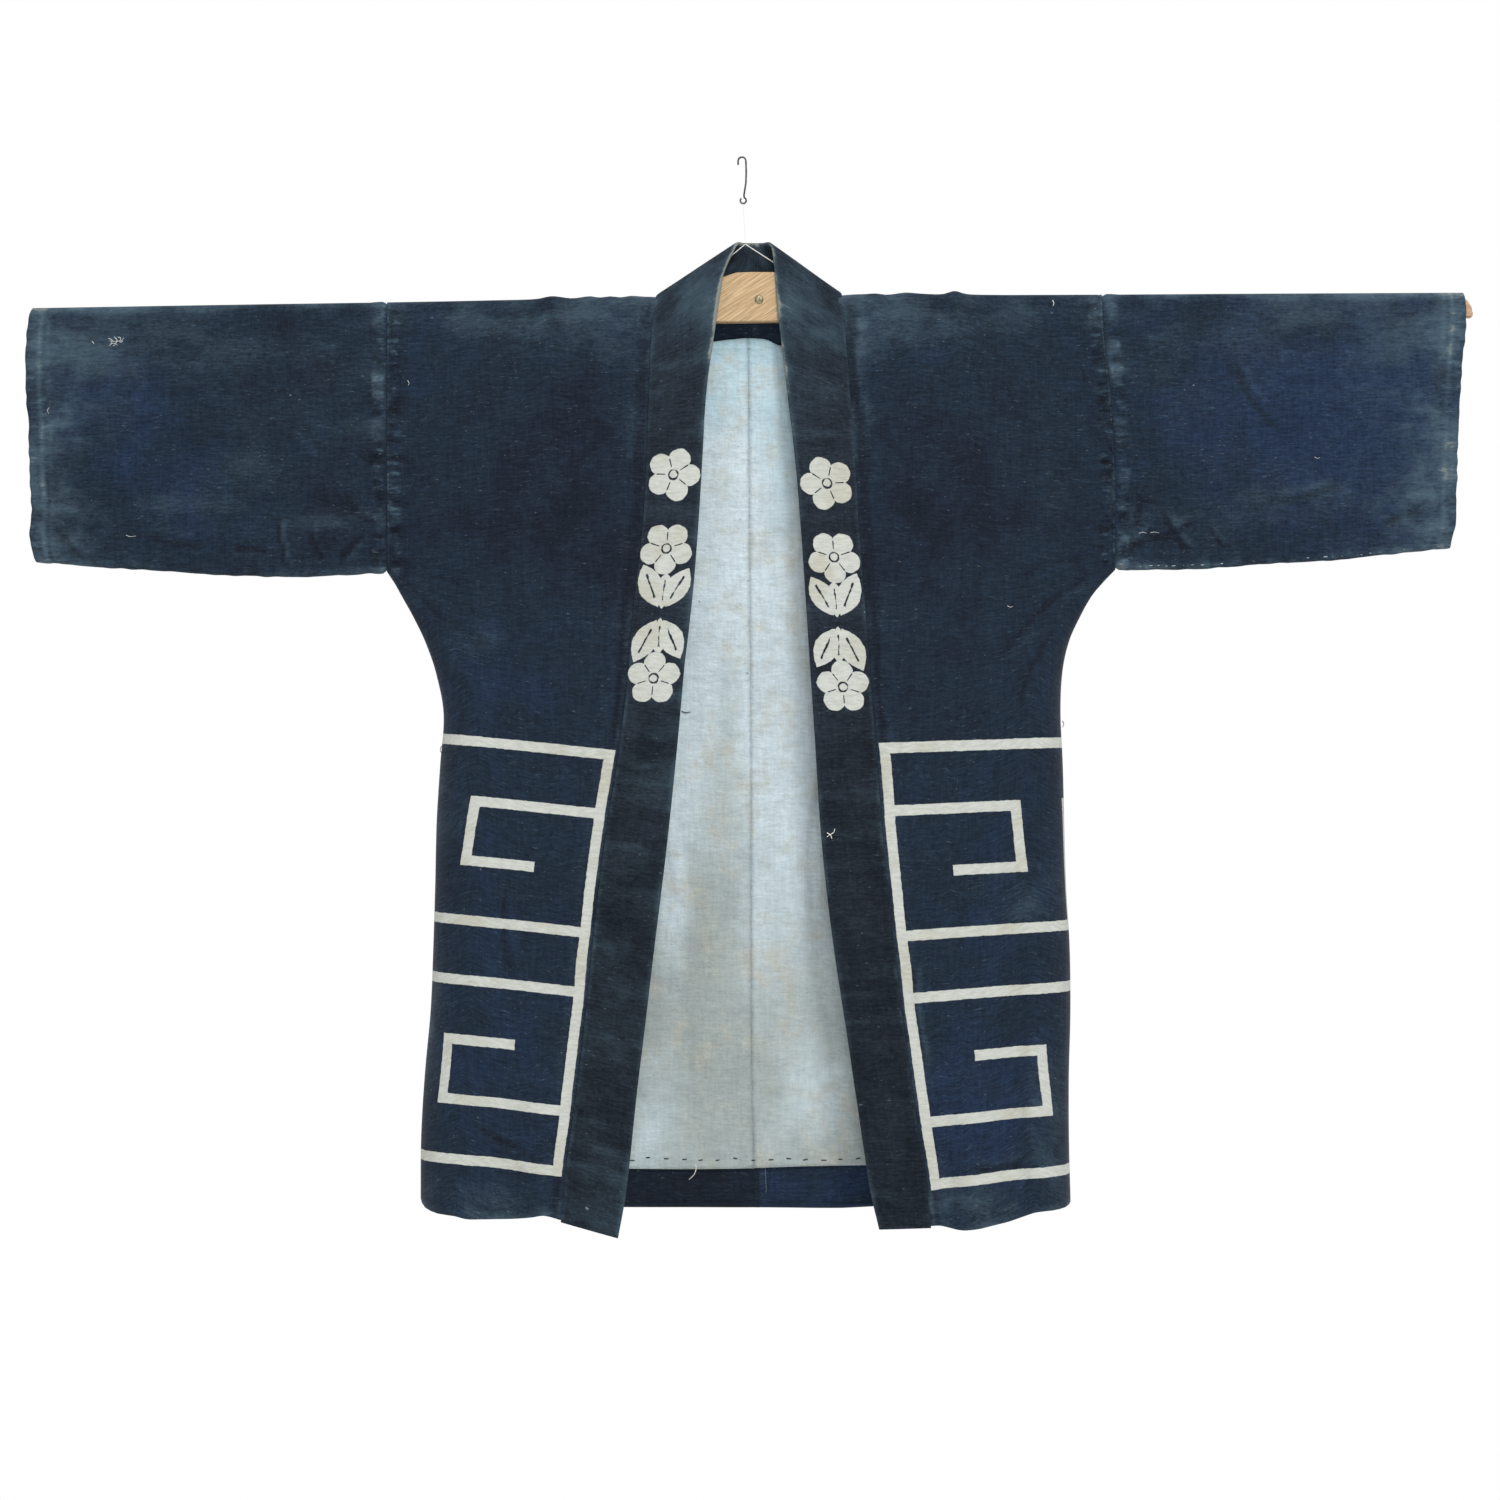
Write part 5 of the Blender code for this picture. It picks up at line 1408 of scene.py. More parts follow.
SLEEVE_STITCHES = {"right": -0.5, "left": 0.2}  # how much of the lower seam's thread shows
RING_SPACING = 3.0
SLEEVE_START = 0.3  # from the armhole's edge
BACK_APART = 700  # so that the back sheet's slack isn't the front's
SEAM_DIP = 1.5
CUFF_TURN = 12.0
# How the cuff is folded in: how far inward, how far back along the sleeve, and the cloth used.
CUFF_ROWS = ((0.35, -0.5, 0.6), (0.9, 0.4, 1.5), (1.1, CUFF_TURN / 2, 7), (1.15, CUFF_TURN, 13))


def sleeve_ring(side, share_along):
    """Points round the sleeve: down the front from the fold, and up the back."""
    x_top = blend(ARMHOLE.column(side)[0], CUFF.column(side)[0], share_along)
    top = crest(SIGN[side] * x_top)
    rows = sleeve_rows(top, SLEEVE_FOOT.at(side, share_along))
    ring = []
    for sheet, out in (("front", -1), ("back", 1)):
        for down, half in rows if out < 0 else rows[-2:0:-1]:
            share = (down - top) / (rows[-1][0] - top)
            armhole = ARMHOLE.at(side, share) + SLEEVE_START
            reach = blend(armhole, CUFF.at(side, share), share_along)
            lift = fold_height(SLEEVE_FOLDS, side, sheet, reach, down) * ease(half / 6 - 0.6)
            y = sleeve_middle(share) + out * (half + lift * ease(share_along * 8))
            ring.append((SIGN[side] * reach, y, down))
    return ring


def sleeve(side):
    """A tube of cloth, lapped under the panel at the armhole and turned in at the cuff."""
    sign, seed = SIGN[side], SLEEVE_SEEDS[side]
    steps = int((CUFF.column(side)[0] - ARMHOLE.column(side)[0]) / SPACING)
    rings = np.array([sleeve_ring(side, s / steps) for s in range(steps + 1)])
    closed = np.concatenate([rings, rings[:, :1]], axis=1)
    round_places = stations(np.swapaxes(closed, 0, 1), RING_SPACING)[:-1]
    wrapped = np.concatenate([rings[:, -1:], rings, rings[:, :2]], axis=1)
    smooth = across(wrapped, round_places + 1)
    centre = smooth.mean(axis=1, keepdims=True)
    padded = np.concatenate([smooth[:, -1:], smooth, smooth[:, :1]], axis=1)
    normal = normals(padded, padded - centre)[:, 1:-1]

    x, y, down = (smooth[..., k] for k in range(3))
    is_front = y < centre[..., 1]
    reach = np.abs(x)
    from_seam, from_cuff = reach - reach[:1], reach[-1:] - reach
    from_top = down - down.min(axis=1, keepdims=True)
    from_foot = down - down.max(axis=1, keepdims=True)
    ring_length = run(padded, 1)[:, 1:-1]

    def on_sheets(table, laid):
        """What a table lays on the front sheet and on the back one, each in its own place."""
        front, back = (laid(table[f"{sheet}_{side}"], x, down) for sheet in ("front", "back"))
        return np.where(is_front, front, back)

    slack = slack_cloth(reach + np.where(is_front, 0, BACK_APART), down, seed)
    steady = ease(from_top / 14)
    settled = steady * (1 - 0.7 * bump(from_foot, 6)) * ease((from_seam + 1) / 16)
    crimp = ripple(ring_length, from_seam, 8, 14, seed + 5)
    crimp = crimp + 0.6 * ripple(ring_length, from_seam, 4, 9, seed + 6)
    hem = ripple(ring_length, from_cuff, 11, 12, seed + 7)
    fine = on_sheets(SLEEVE_CREASES, creases) * settled
    fine += steady * crimp * (bump(from_seam - 9, 8) + 0.6 * allowance(from_seam, 3, 12, 3))
    fine += 0.6 * allowance(from_seam, 2, 12.5, 3)
    fine += steady * (hem * bump(from_cuff - 13, 10) + 0.5 * ease((12 - from_cuff) / 1.5))
    fine += 0.6 * bump(from_foot, 22) * ripple(reach, down, 9, 30, seed + 8)
    relief = slack * settled + fine - SEAM_DIP * (1 - ease((from_seam + 0.5) / 3.5))
    grid = smooth + normal * relief[..., None]
    uneven = ripple(ring_length, from_cuff, 17, 90, seed + 9)
    uneven = uneven + 0.5 * ripple(ring_length, from_cuff, 7, 90, seed + 10)
    grid[..., 0] += sign * 1.3 * uneven * steady * ease((45 - from_cuff) / 45)

    # The armhole's lap and the cuff's turned edge.
    lap = grid[0] - normal[0] * 0.15 - [sign * LAP_WIDTH, 0, 0]
    turned = [
        (grid[-1] - normal[-1] * inset - [sign * back_in, 0, 0])[None]
        for inset, back_in, _ in CUFF_ROWS
    ]
    points = np.concatenate([lap[None], grid, *turned])
    places = np.stack([reach, run(smooth, 1)], axis=-1)
    used = [places[-1:] + [cloth_used, 0] for *_, cloth_used in CUFF_ROWS]
    places = np.concatenate([places[:1] - [3.0, 0], places, *used])

    line = np.clip(0.6 + ripple(ring_length, from_cuff, 26, 900, seed + 12), 0, 1.2)
    wear_and_painted_light = bands(from_cuff, (0, 14, 0.14), (0, 70, 0.27), (19, 1.5, 0.2))
    wear_and_painted_light += (0.35 + 0.5 * line) * bump(from_cuff - 11.5, 1.4)
    wear_and_painted_light += on_sheets(SLEEVE_WEAR, spots) + bands(from_seam, (1.5, 1.4, 0.22), (8, 5, 0.06))
    wear_and_painted_light += bands(from_top, (0, 6, 0.5)) + bands(from_foot, (0, 5, 0.3))
    stitched = ripple(reach, down, 3.2, 90, seed + 11) + SLEEVE_STITCHES[side]
    wear_and_painted_light += 0.8 * np.clip(stitched, 0, 1) * bump(from_foot + 2.5, 1.6)
    wear_and_painted_light += bands(down, (165, 40, 0.10)) + 0.05
    shade = on_sheets(SLEEVE_SHADES, spots) + SLEEVE_TONE[side]
    pucker = allowance(from_seam, 1, 16, 6) + 0.8 * ease((20 - from_cuff) / 5)
    pucker += bands(from_foot, (0, 14, 0.5))
    # the relief's ridges get a painted highlight and its valleys painted shade
    values = (
        np.concatenate([value[:1], repeated(value)])
        for value in (*relief_wear_and_painted_light(wear_and_painted_light, shade, fine), pucker)
    )
    FRONTS[f"sleeve_{side}"] = grid[is_front]
    cloth = Cloth(f"{side}_sleeve")
    cloth.grid(points, places, np.full(places.shape, NO_PRINT), *values, closed=True)
    return keep(cloth.make(SHELL, CLOTH_SHELL, CLOTH_INSIDE), "indigo_cloth", f"sleeve_{side}")


# ---- Collar ----
BAND_HALF = 1.45
BAND_COLUMNS = np.array((
    0, 0.012, 0.035, 0.08, 0.14, 0.22, 0.3, 0.4, 0.5, 0.6, 0.7, 0.8, 0.88, 0.93, 0.965, 0.985, 1
))
BAND_MIDDLE = 8  # the column in its middle
MOTIF_DOWN = {"right": 399.5, "left": 407.0}
COLLAR_CREASES = (
    (-112, 520, -72, 524, 2.5, 0.4), (-122, 640, -84, 652, 3, 0.5),
    (-150, 850, -112, 838, 3, 0.6), (66, 330, 98, 322, 2.5, 0.4), (118, 700, 84, 706, 3, 0.5),
    (150, 860, 108, 872, 3, 0.7), (150, 905, 118, 915, 2.5, 0.6), (34, 150, 82, 142, 3, 0.4),
    (-30, 156, -74, 150, 3, 0.4),
)


def collar_lines():
    """The band's sewn edge and its free edge, from one foot round the neck to the other."""
    (seam, free), (left_seam, left_free) = (collar_half(side, sign) for side, sign in SIDES)
    seam_end, free_end = neck_centre()
    seams = [*seam, seam_end, *left_seam[::-1]]
    return np.array(seams, float), np.array([*free, free_end, *left_free[::-1]], float)


def band_thickness():
    """Half thickness of the band across its width: rounded at its fold, thinner at its seam."""
    folded = np.sqrt(1 - np.clip((BAND_COLUMNS - 0.955) / 0.045, 0, 1) ** 2)
    sewn = 0.45 + 0.55 * np.sqrt(1 - np.clip((0.05 - BAND_COLUMNS) / 0.05, 0, 1) ** 2)
    return BAND_HALF * folded * sewn


def collar():
    """The doubled band as a soft flat tube: folded at its free edge, sewn at the other."""
    seams, frees = collar_lines()
    places = stations((seams + frees) / 2, SPACING)
    seam, free = along(seams, places)[:, None], along(frees, places)[:, None]
    grid = blend(seam, free, BAND_COLUMNS[None, :, None])
    crown = np.clip((grid[..., 1] - TURN_MIDDLE) / CROWN_FADE, -1, 1)
    grid[..., 1] += COLLAR_CROWN * crown * np.sin(math.pi * BAND_COLUMNS)
    normal = normals(grid, crown[..., None] * BACK)

    x, down = grid[..., 0], grid[..., 2]
    width = run(grid, 1)
    from_seam, from_free = width, width[:, -1:] - width
    length = np.broadcast_to(run(grid, 0)[:, BAND_MIDDLE : BAND_MIDDLE + 1], width.shape)
    half = band_thickness()
    relief = 0.35 * ripple(length, width, 70, 60, 71) + 0.2 * ripple(length, width, 26, 40, 72)
    relief += 0.28 * ripple(length, width, 9, 12, 73) * bump(from_seam - 3, 7)
    relief += 0.2 * ripple(length, width, 13, 9, 74) * bump(from_free - 3, 6)
    relief += creases(COLLAR_CREASES, x, down) * (crown < 0)
    steady = ease((down - 82) / 40)
    face = grid + normal * (half + relief * steady * np.minimum(1, half / BAND_HALF))[..., None]
    under = grid - normal * half[..., None]
    FRONTS["collar"] = face[crown[:, 0] < 0].reshape(-1, 3)

    near_neck = ease((285 - down) / 150)
    stitched = 0.6 + 0.4 * ripple(length, width, 2.4, 50, 78)
    wear_and_painted_light = (0.4 + 1.3 * near_neck) * bump(from_free, 3.0)
    wear_and_painted_light += 0.55 * stitched * bump(from_seam - 1.0, 1.2)
    wear_and_painted_light += 0.5 * near_neck * (0.75 + 0.6 * ripple(length, width, 40, 22, 75))
    wear_and_painted_light += 0.3 * bump(x - 62, 26) * bump(down - 148, 22)
    wear_and_painted_light += 0.24 * np.clip(ripple(width, length, 90, 8, 76), 0, 1)
    wear_and_painted_light += 0.1 * np.clip(ripple(length, width, 120, 70, 77), 0, 1)
    wear_and_painted_light += 0.16 * (x < 0) * ease((down - 300) / 120)
    shade = -0.55 * ease((down - 330) / 300) + 0.25 * near_neck
    pucker = bands(from_seam, (5, 5, 0.5)) + bands(from_free, (4, 4, 0.3))

    # Round the band: its face, and its underside back from the fold. Only the face is printed.
    motif_down = np.where(x < np.mean(list(COLLAR_TOP_CORNER.values())), *MOTIF_DOWN.values())
    printed = np.stack([width - width[:, -1:] / 2, down - motif_down], axis=-1)
    flat = np.stack([width, length], axis=-1)
    blank = np.full(printed.shape, -NO_PRINT)
    upper = (face, flat, printed, wear_and_painted_light, shade, pucker)
    lower = (under, flat, blank, wear_and_painted_light, shade, pucker)
    cloth = Cloth("collar_band")
    rings = (np.concatenate([a, b[:, -2::-1]], axis=1) for a, b in zip(upper, lower))
    cloth.grid(*rings, closed=True)
    for end in ([0, 0], [-1, -1]):
        cap = np.stack([face[end[0]], under[end[0]]])
        cloth.grid(cap, flat[end], blank[end], wear_and_painted_light[end] + 0.3, shade[end])
    return keep(cloth.make(0, CLOTH_COLLAR), "collar_cloth", "collar")


# ---- Lining ----
LINING_SPACING = 4.0
LINING_SEEDS = {"right": 30, "left": 40}
LINING_HEM = 14.5
TACKS, TACK_DOWN = np.linspace(-97.5, 102.8, 14), 877.7
LINING_CREASES = (
    (-88, 700, -70, 724, 1.2, 0.25), (-66, 744, -30, 738, 1, 0.22),
    (-92, 800, -74, 846, 1.4, 0.3), (-58, 812, -22, 822, 1.1, 0.22), (-46, 856, -6, 850, 1, 0.25),
    (18, 846, 34, 812, 1.2, 0.28), (42, 790, 66, 806, 1, 0.25), (52, 842, 88, 818, 1.2, 0.3),
    (74, 760, 96, 782, 1, 0.22), (28, 752, 58, 744, 1.1, 0.2), (20, 690, 34, 668, 1.1, 0.24),
    (60, 664, 84, 676, 1, 0.2), (-70, 590, -52, 610, 1.2, 0.24), (-36, 640, -14, 630, 1, 0.2),
    (28, 560, 50, 572, 1.1, 0.22), (-48, 500, -28, 512, 1.1, 0.2), (14, 430, 36, 424, 1, 0.2),
    (-40, 390, -18, 398, 1.1, 0.2), (24, 318, 44, 330, 1, 0.2), (-34, 250, -20, 262, 1.1, 0.2),
)


def lining_form(side):
    """Coarse points of half the lining, which hangs just in front of the back."""
    apart = (WALL + LINING_WALL) / 2 + LINING_GAP
    rows = []
    for share in np.arange(LINING_ROWS) / (LINING_ROWS - 1):
        row = []
        for t in np.arange(LINING_COLUMNS) / (LINING_COLUMNS - 1):
            down = blend(LINING_TOP_DOWN, LINING_FOOT.at(side, t), share)
            centre = CENTRE_SEAM.at("x", down)
            width = LINING_WIDTH * (BODY_SIDE.at(side, down) - SIDE_ROUND) - SIGN[side] * centre
            x = centre + SIGN[side] * width * t
            row.append((x, back_y(side, abs(x), down) - apart, down))
        rows.append(row)
    return np.array(rows)


def lining(side):
    """Half of the pale lining, its lower edge turned under and tacked."""
    coarse, seed = lining_form(side), LINING_SEEDS[side]
    rows = stations(coarse, LINING_SPACING)
    grid = across(along(coarse, rows), stations(np.swapaxes(coarse, 0, 1), LINING_SPACING))
    x, down = grid[..., 0], grid[..., 2]
    from_top, from_foot = down - down[:1], down[-1:] - down
    from_centre = np.abs(x - x[:, :1])
    follow = slack_cloth(np.abs(x), down, seed) + creases(PANEL_CREASES[f"back_{side}"], x, down)
    fine = creases(LINING_CREASES, x, down)
    line = LINING_HEM + 0.6 * ripple(x, down * 0, 20, 900, seed + 4)
    ridge = bump(from_foot - line, 0.9)
    relief = fine + 0.25 * ridge - follow * ease(from_centre / 25)
    relief += 0.5 * ease((LINING_HEM - from_foot) / 1.5)
    for tack in TACKS:
        relief -= 0.45 * bump(x - tack, 3.0) * bump(down - TACK_DOWN, 5)
    relief += 0.22 * ripple(x, down, 12, 20, seed + 5) * bump(from_foot - 8, 14)
    beside = 0.35 * bump(from_centre - 6, 4)
    relief += beside * (1 + ripple(down, x, 9, 9, seed + 6)) - 0.12 * bump(from_centre, 1.0)
    relief += 0.6 * ripple(x, down, 22, 40, seed + 7) * bump(from_top, 10)
    grid[..., 1] -= relief
    arch = 2.4 * np.clip(np.abs(x + 2) / 28, 0, 1.2) ** 2 + 3.4 * ripple(x, down * 0, 15, 900, 38)
    grid[..., 2] += arch * ease((40 - from_top) / 40)  # "down" follows
    # darker towards the foot and along the centre seam
    wear_and_painted_light = bands(from_foot, (0, 22, 0.25)) + bands(from_centre, (0, 1, 0.2))
    # painted shade in the creases' valleys, and a painted highlight (below 0) on the turned edge's
    # ridge
    wear_and_painted_light += 1.3 * np.clip(-fine, 0, 0.5) - 0.9 * ridge
    # bluer and darker at the top, partly painted shade under the neck; greyer and darker towards
    # the foot, partly stains and partly painted shade
    shade = 1.25 * ease((down - 400) / 430) - 1.0 * (1 - ease((down - 150) / 200))
    shade += 0.25 * ripple(x, down, 120, 160, seed + 9) + spots(SHADES[f"lining_{side}"], x, down)
    pucker = bands(from_foot, (8, 9, 0.7)) + bands(from_centre, (7, 6, 0.6))
    pucker += bands(down - down[:1], (6, 6, 0.5))
    FRONTS[f"lining_{side}"] = grid.reshape(-1, 3)
    places = np.stack([x, down], axis=-1)
    cloth = Cloth(f"{side}_back_lining")
    cloth.grid(grid, places, np.full(places.shape, NO_PRINT), wear_and_painted_light, shade, pucker)
    return keep(cloth.make(LINING_SHELL, CLOTH_LINING), "lining_cloth", f"back_lining_{side}")


# ---- Tubes, stitches and loose threads ----
TUBE_SIDES = 6
TUBE_UP = np.array([0.31, -0.87, 0.38])  # across every thread's run


def tube_grid(route, radius):
    """Rings of points along a route."""
    forward = np.gradient(route, axis=0)
    forward /= np.maximum(np.linalg.norm(forward, axis=1, keepdims=True), 1e-9)
    first = np.cross(forward, TUBE_UP)
    first /= np.linalg.norm(first, axis=1, keepdims=True)
    second = np.cross(forward, first)
    angle = np.linspace(0, 2 * math.pi, TUBE_SIDES, endpoint=False)[:, None]
    circle = np.cos(angle) * first[:, None] + np.sin(angle) * second[:, None]
    return route[:, None] + np.broadcast_to(radius, (len(route),))[:, None, None] * circle


def tubes(name, routes, surface):
    """One object of several threads, each a route with its radius or radii."""
    points, faces = [], []
    for route, radius in routes:
        rings = tube_grid(route, radius).reshape(-1, 3)
        first, last = sum(len(p) for p in points), len(rings) - TUBE_SIDES
        faces += (grid_quads(len(route), TUBE_SIDES, True) + first).tolist()
        faces.append([first + c for c in range(TUBE_SIDES)][::-1])
        faces.append([first + last + c for c in range(TUBE_SIDES)])
        points.append(rings)
    return keep(shown(name, new_mesh(name, np.concatenate(points), faces), surface), "thread")


def thread(piece, places, lift, spacing):
    """A smooth route over the front of a piece through (x, down, extra lift) places."""
    surface = FRONTS[piece]
    route = []
    for x, down, *more in places:
        away = np.hypot(surface[:, 0] - x, surface[:, 2] - down)
        near = np.argsort(away)[:4]
        weight = 1 / (away[near] + 0.3)
        y = (surface[near, 1] * weight).sum() / weight.sum()
        route.append((x, y - lift - sum(more), down))
    route = np.array(route)
    return along(route, stations(route, spacing))


# Loose ends and mending by kind of thread: piece, radius, and (x, down, extra lift) along each.
LOOSE_THREADS = {
    "white": (
        ("panel_left", 0.35, ((271.4, 124.8), (272.6, 127.4, 0.4), (271.8, 130))),
        ("collar", 0.4, ((73.6, 589.6), (76.6, 591, 0.7), (79.6, 588.8, 0.4), (80.4, 586.2))),
        ("collar", 0.4, ((77.8, 594.6), (76.4, 591.4, 0.6), (73.4, 593.4, 0.3))),
        ("lining_right", 0.4, (
            (-40.8, 882), (-40.4, 886, 1.4), (-42.2, 891, 2.4), (-46.6, 895.4, 2.6),
        )),
    ),
    "pale": (
        ("sleeve_right", 0.5, ((-568, 161.2), (-566.6, 162.3, 0.4), (-566.2, 163.4))),
        ("sleeve_right", 0.5, (
            (-553.6, 158.4), (-550.4, 160, 0.5), (-551.2, 163.2, 0.4), (-553, 165),
        )),
        ("sleeve_right", 0.5, (
            (-548.6, 157), (-546.2, 159.8, 0.5), (-547.4, 163.4, 0.5), (-549.6, 165.2),
        )),
        ("sleeve_right", 0.5, (
            (-545.4, 157.2), (-543, 158, 0.6), (-543.6, 161.6, 0.4), (-541, 161),
        )),
        ("sleeve_right", 0.4, (
            (-552.4, 160.6), (-547, 161, 0.5), (-542, 160.2, 0.4), (-540.4, 157.6),
        )),
        ("sleeve_right", 0.4, ((-552, 163.6), (-548.8, 162.6, 0.5), (-545.6, 164.2))),
        ("sleeve_right", 0.35, ((-538.4, 330.2), (-535, 331.4, 0.3), (-529.8, 330.9))),
        ("sleeve_right", 0.35, ((-604.6, 219), (-606.4, 221.6, 0.6), (-605.2, 224.4))),
        ("sleeve_left", 0.35, ((346.9, 328.6), (350.2, 327.7, 0.2), (353.6, 328.5))),
        ("sleeve_left", 0.35, ((356.9, 328.1), (360.2, 327.5, 0.2), (364.6, 328.3))),
        ("sleeve_left", 0.35, ((500, 262), (502.2, 263.4, 0.4), (504.6, 262.6))),
        ("panel_left", 0.35, ((231, 392.4), (233.6, 393.6, 0.3), (236, 393))),
        ("panel_right", 0.35, ((-292, 195.4), (-290.6, 197.6, 0.4), (-291.4, 199.8))),
    ),
    "dark": (
        ("panel_right", 0.4, ((-262.4, 514.6), (-263.4, 518.2, 1.2), (-262.2, 520.6, 2))),
        ("panel_left", 0.4, ((279.8, 492.6), (281, 495.8, 0.8), (279.4, 498.4, 1.6))),
        ("lining_right", 0.5, ((-53, 484), (-49.6, 485.2, 0.5), (-45.4, 484.6))),
    ),
}


def pale_stitches():
    """Worn stitches under the wearer's left sleeve and beside the centre back seam."""
    random = np.random.RandomState(12)
    front = FRONTS["sleeve_left"]
    routes = []
    reach = ARMHOLE.column("left")[-1] + 8.0
    while reach < CUFF.column("left")[-1] - 10:
        half = random.uniform(1.3, 2.4)
        lowest = front[np.abs(front[:, 0] - reach) < 4, 2].max()
        down = lowest - random.uniform(2.2, 3.0)
        places = [
            (reach + half * s, down - 0.08 * half * s, 0.1 - 0.4 * abs(s)) for s in (-1, 0, 1)
        ]
        if random.uniform() < 0.8:
            routes.append((thread("sleeve_left", places, SHELL / 2, 0.8), 0.42))
        reach += random.uniform(6.0, 9.5)
    tubes("sleeve_foot_stitches", routes, PALE_FRAY)
    routes = []
    for aside, lift in ((1.6, 0.5), (9.8, 0.05)):
        for down in np.arange(884.5, 906.0, 3.5):
            x = CENTRE_SEAM.at("x", down) + aside + random.uniform(-0.15, 0.15)
            places = [(x + random.uniform(-0.2, 0.2), down + 1.6 * s, lift) for s in (-1, 0, 1)]
            routes.append((thread("hem_left", places, SHELL / 2, 0.8), 0.28))
    tubes("back_seam_stitches", routes, FADED_THREAD)


def loose_threads():
    finishes = {"white": WHITE_THREAD, "pale": PALE_FRAY, "dark": DARK_THREAD}
    for kind, rows in LOOSE_THREADS.items():
        routes = []
        for piece, radius, places in rows:
            route = thread(piece, places, SHELL / 2 + radius * 0.6, 0.6)
            routes.append((route, radius * np.linspace(1.0, 0.6, len(route))))
        tubes(f"{kind}_loose_threads", routes, finishes[kind])


def tacking():
    """Dark running stitches that hold the lining's turned edge."""
    routes = []
    random = np.random.RandomState(8)
    for x in TACKS:
        x = x + random.uniform(-1.2, 1.2)
        down = TACK_DOWN + random.uniform(-1.4, 0.9)
        half = random.uniform(1.5, 2.3)
        tilt = random.uniform(-0.5, 0.5)
        side = "right" if x < CENTRE_SEAM.at("x", down) else "left"
        places = [
            (x + half * s, down + tilt * s, -0.5 if abs(s) == 1 else 0.15)
            for s in (-1, -0.6, 0, 0.6, 1)
        ]
        routes.append((thread(f"lining_{side}", places, LINING_SHELL / 2, 0.5), 0.55))
    tubes("lining_tacking", routes, DARK_THREAD)


SCREW_DOME = 1.9
SCREW_RINGS, SCREW_SIDES = 9, 40
SLOT_TURN, SLOT_HALF, SLOT_DEPTH = 0.5, 0.42, 0.9


def screw_head():
    """A worn domed head with a slot, down to the board's face."""
    share = (np.arange(SCREW_RINGS + 1) / SCREW_RINGS)[:, None]
    angle = 2 * math.pi * np.arange(SCREW_SIDES) / SCREW_SIDES
    u, v = SCREW_HEAD * share * np.cos(angle), SCREW_HEAD * share * np.sin(angle)
    from_slot = np.abs(u * math.cos(SLOT_TURN) + v * math.sin(SLOT_TURN))
    rise = SCREW_DOME * np.sqrt(1 - 0.96 * share**2)
    rise = rise - SLOT_DEPTH * ease((SLOT_HALF - from_slot) / 0.25 + 0.5)
    y = BOARD_FRONT - 0.15 - np.maximum(rise, 0.1)
    head = np.stack([SCREW_X + u, y, SCREW_DOWN + v], axis=-1)
    rim = head[-1:].copy()
    rim[..., 1] = BOARD_FRONT - 0.02
    faces = grid_quads(SCREW_RINGS + 2, SCREW_SIDES, True).tolist()
    mesh = new_mesh("screw_head", np.concatenate([head, rim]).reshape(-1, 3), faces)
    keep(shown("screw_head", mesh, SCREW_FINISH, WELD), "steel", "hanger_screw")


# ---- The coat ----
BACK_ROWS = {side: back_rows(side) for side, _ in SIDES}
for SIDE, _ in SIDES:
    body_panel(SIDE)
    sleeve(SIDE)
    lining(SIDE)
collar()
tacking()
pale_stitches()
loose_threads()
screw_head()

# ---- Hanger, hook and thread ----
BAR_WOOD = wood("bar_wood", (0.60, 0.40, 0.25), (0.44, 0.27, 0.16), 0.0, 1.0)
BOARD_WOOD = wood("board_wood", (0.58, 0.415, 0.235), (0.43, 0.285, 0.150), 33.0, 0.8)
HOOK_STEEL = metal("hook_steel", (0.16, 0.16, 0.155), (0.05, 0.05, 0.05), 0.5)
HARDWARE = {
    "hanger_bar": ("wood", BAR_WOOD),
    "hanger_board": ("wood", BOARD_WOOD),
    "hanger_screw": ("steel", SCREW_FINISH),
    "hanger_hook": ("steel", HOOK_STEEL),
    "hang_thread": ("thread", WHITE_THREAD),
    "hang_loop": ("filament", clear_filament()),
}
for NODE, (SLOT, FINISH) in HARDWARE.items():
    solid = bpy.data.objects[NODE]
    solid.data.materials.clear()
    solid.data.materials.append(FINISH)

# ---- Floor, light and camera ----
FLOOR_LEVEL, FLOOR_SIDES = -1.35, 64
LAMP_AIM = mathutils.Vector((0, 0, -0.45))
WORLD_FRONT = 0.62  # strength in front of the coat, where the lamps take over
AWAY, FRAME_WIDTH = 4.0, 1.3125  # from the camera to the coat, and what the frame shows there
scene = bpy.context.scene


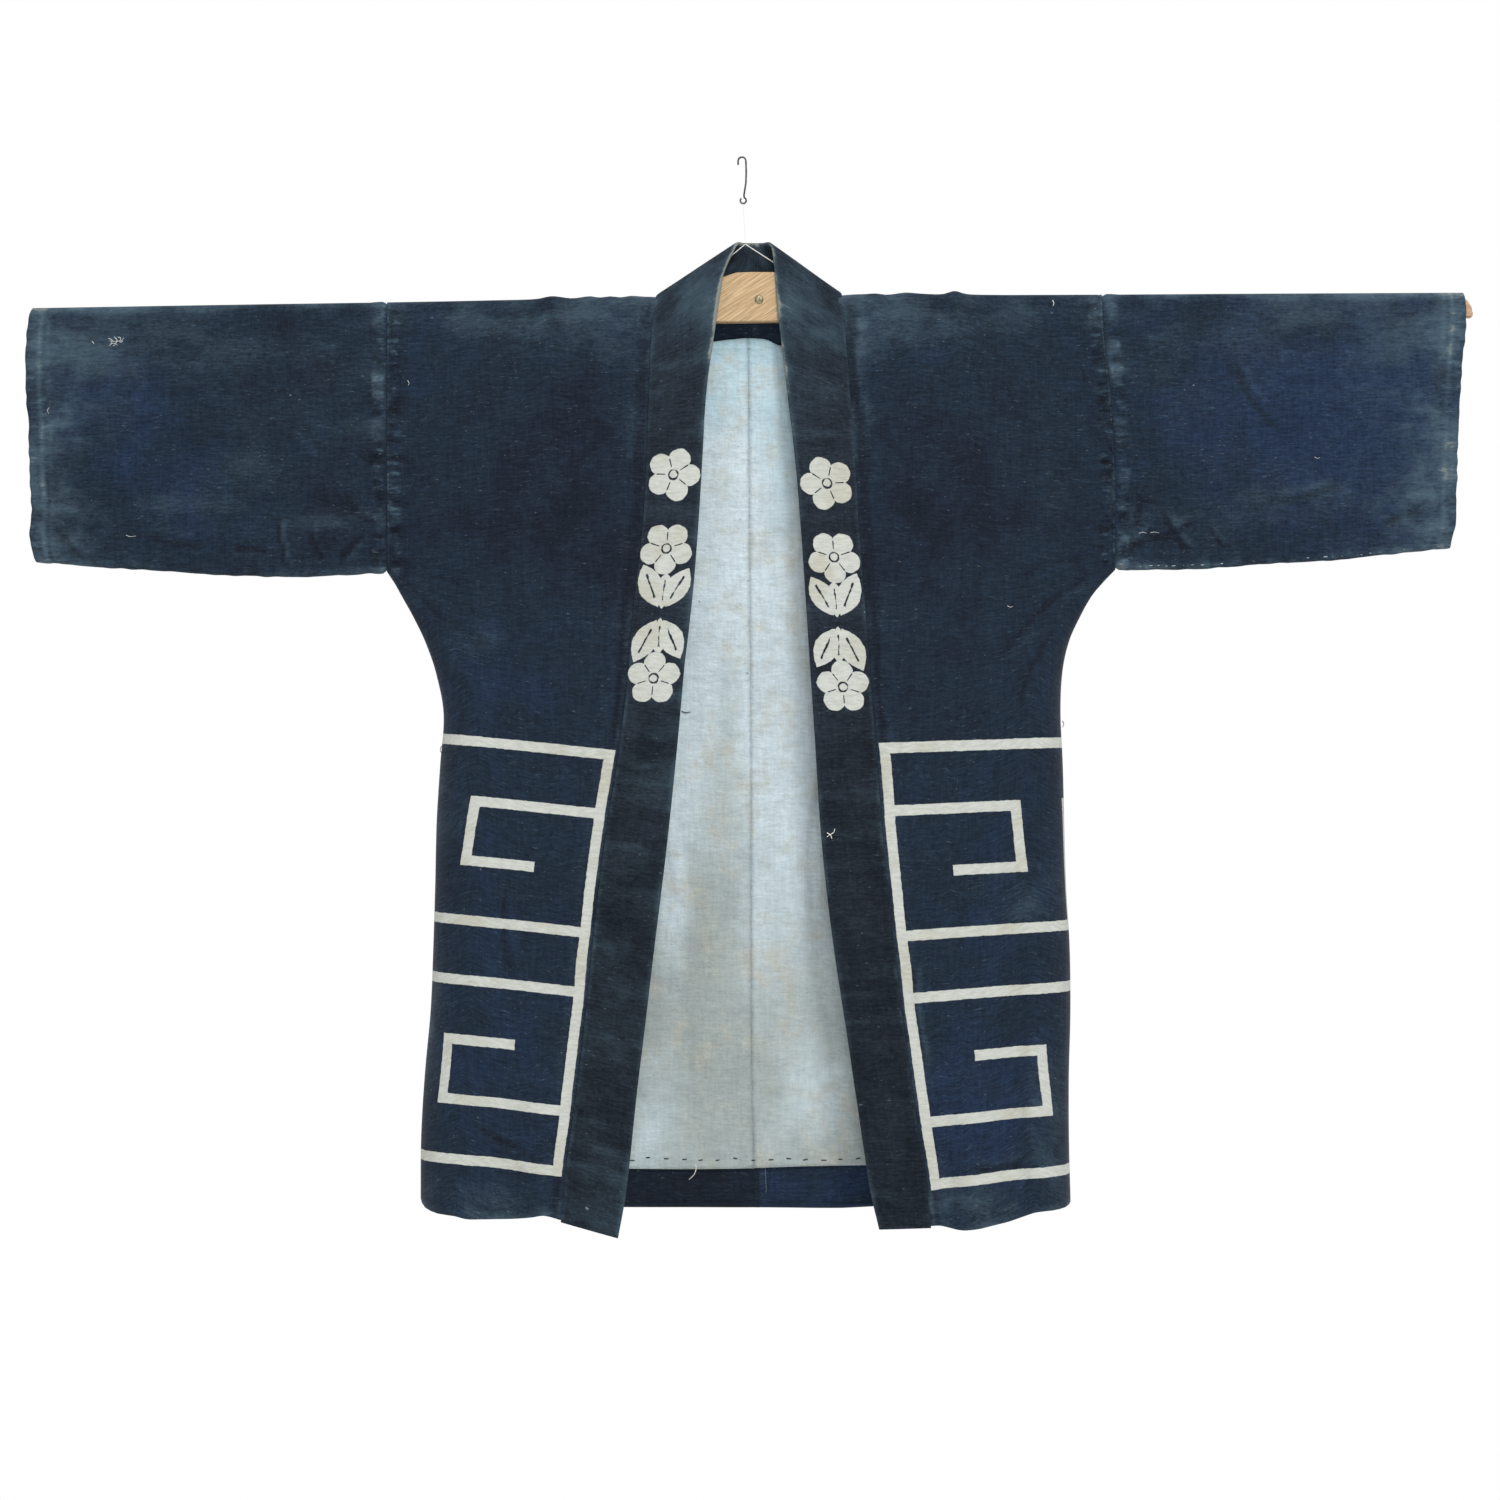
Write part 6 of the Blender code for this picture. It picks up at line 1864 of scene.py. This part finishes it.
def floor():
    """A pale disc one metre in radius."""
    mesh = bpy.data.meshes.new("floor")
    turn = np.linspace(0, 2 * math.pi, FLOOR_SIDES, endpoint=False)
    corners = [(math.cos(a), math.sin(a), FLOOR_LEVEL) for a in turn]
    mesh.from_pydata(corners, [], [tuple(range(FLOOR_SIDES))])
    made = Finish("pale_floor", Roughness=0.9)
    grain = made.noise(made.own_place(), (30, 30, 30), 2, 51)
    mesh.materials.append(made.finish(made.mix(grain, (0.86, 0.86, 0.86), (0.80, 0.80, 0.80))))
    obj = bpy.data.objects.new("floor", mesh)
    scene.collection.objects.link(obj)
    return obj


def lamp(name, place, power, size):
    light = bpy.data.lights.new(name, "AREA")
    light.energy = power
    light.size = size
    obj = bpy.data.objects.new(name, light)
    obj.location = place
    obj.rotation_mode = "QUATERNION"
    obj.rotation_quaternion = (LAMP_AIM - obj.location).to_track_quat("-Z", "Y")
    scene.collection.objects.link(obj)


floor()
lamp("key", (0.8, -2.8, 2.5), 84, 0.8)
lamp("front", (0.2, -4.7, -0.35), 54, 1.0)

world = bpy.data.worlds.new("white")
world.use_nodes = True
sky = world.node_tree
sky.nodes["Background"].inputs["Color"].default_value = (1, 1, 1, 1)
facing = sky.nodes.new("ShaderNodeSeparateXYZ")
sky.links.new(sky.nodes.new("ShaderNodeTexCoord").outputs["Generated"], facing.inputs[0])
dimmed = sky.nodes.new("ShaderNodeMapRange")
for SOCKET, VALUE in zip(dimmed.inputs[1:5], (-0.4, 0.3, WORLD_FRONT, 1.0)):
    SOCKET.default_value = VALUE
sky.links.new(facing.outputs["Y"], dimmed.inputs[0])
sky.links.new(dimmed.outputs[0], sky.nodes["Background"].inputs["Strength"])
scene.world = world
scene.view_settings.view_transform = "Standard"

eye = bpy.data.cameras.new("camera")
eye.sensor_width = 36
eye.lens = eye.sensor_width * AWAY / FRAME_WIDTH
camera = bpy.data.objects.new("camera", eye)
camera.location = (0.007, -AWAY, -0.518)
camera.rotation_euler = (math.radians(90), 0, 0)
scene.collection.objects.link(camera)
scene.camera = camera
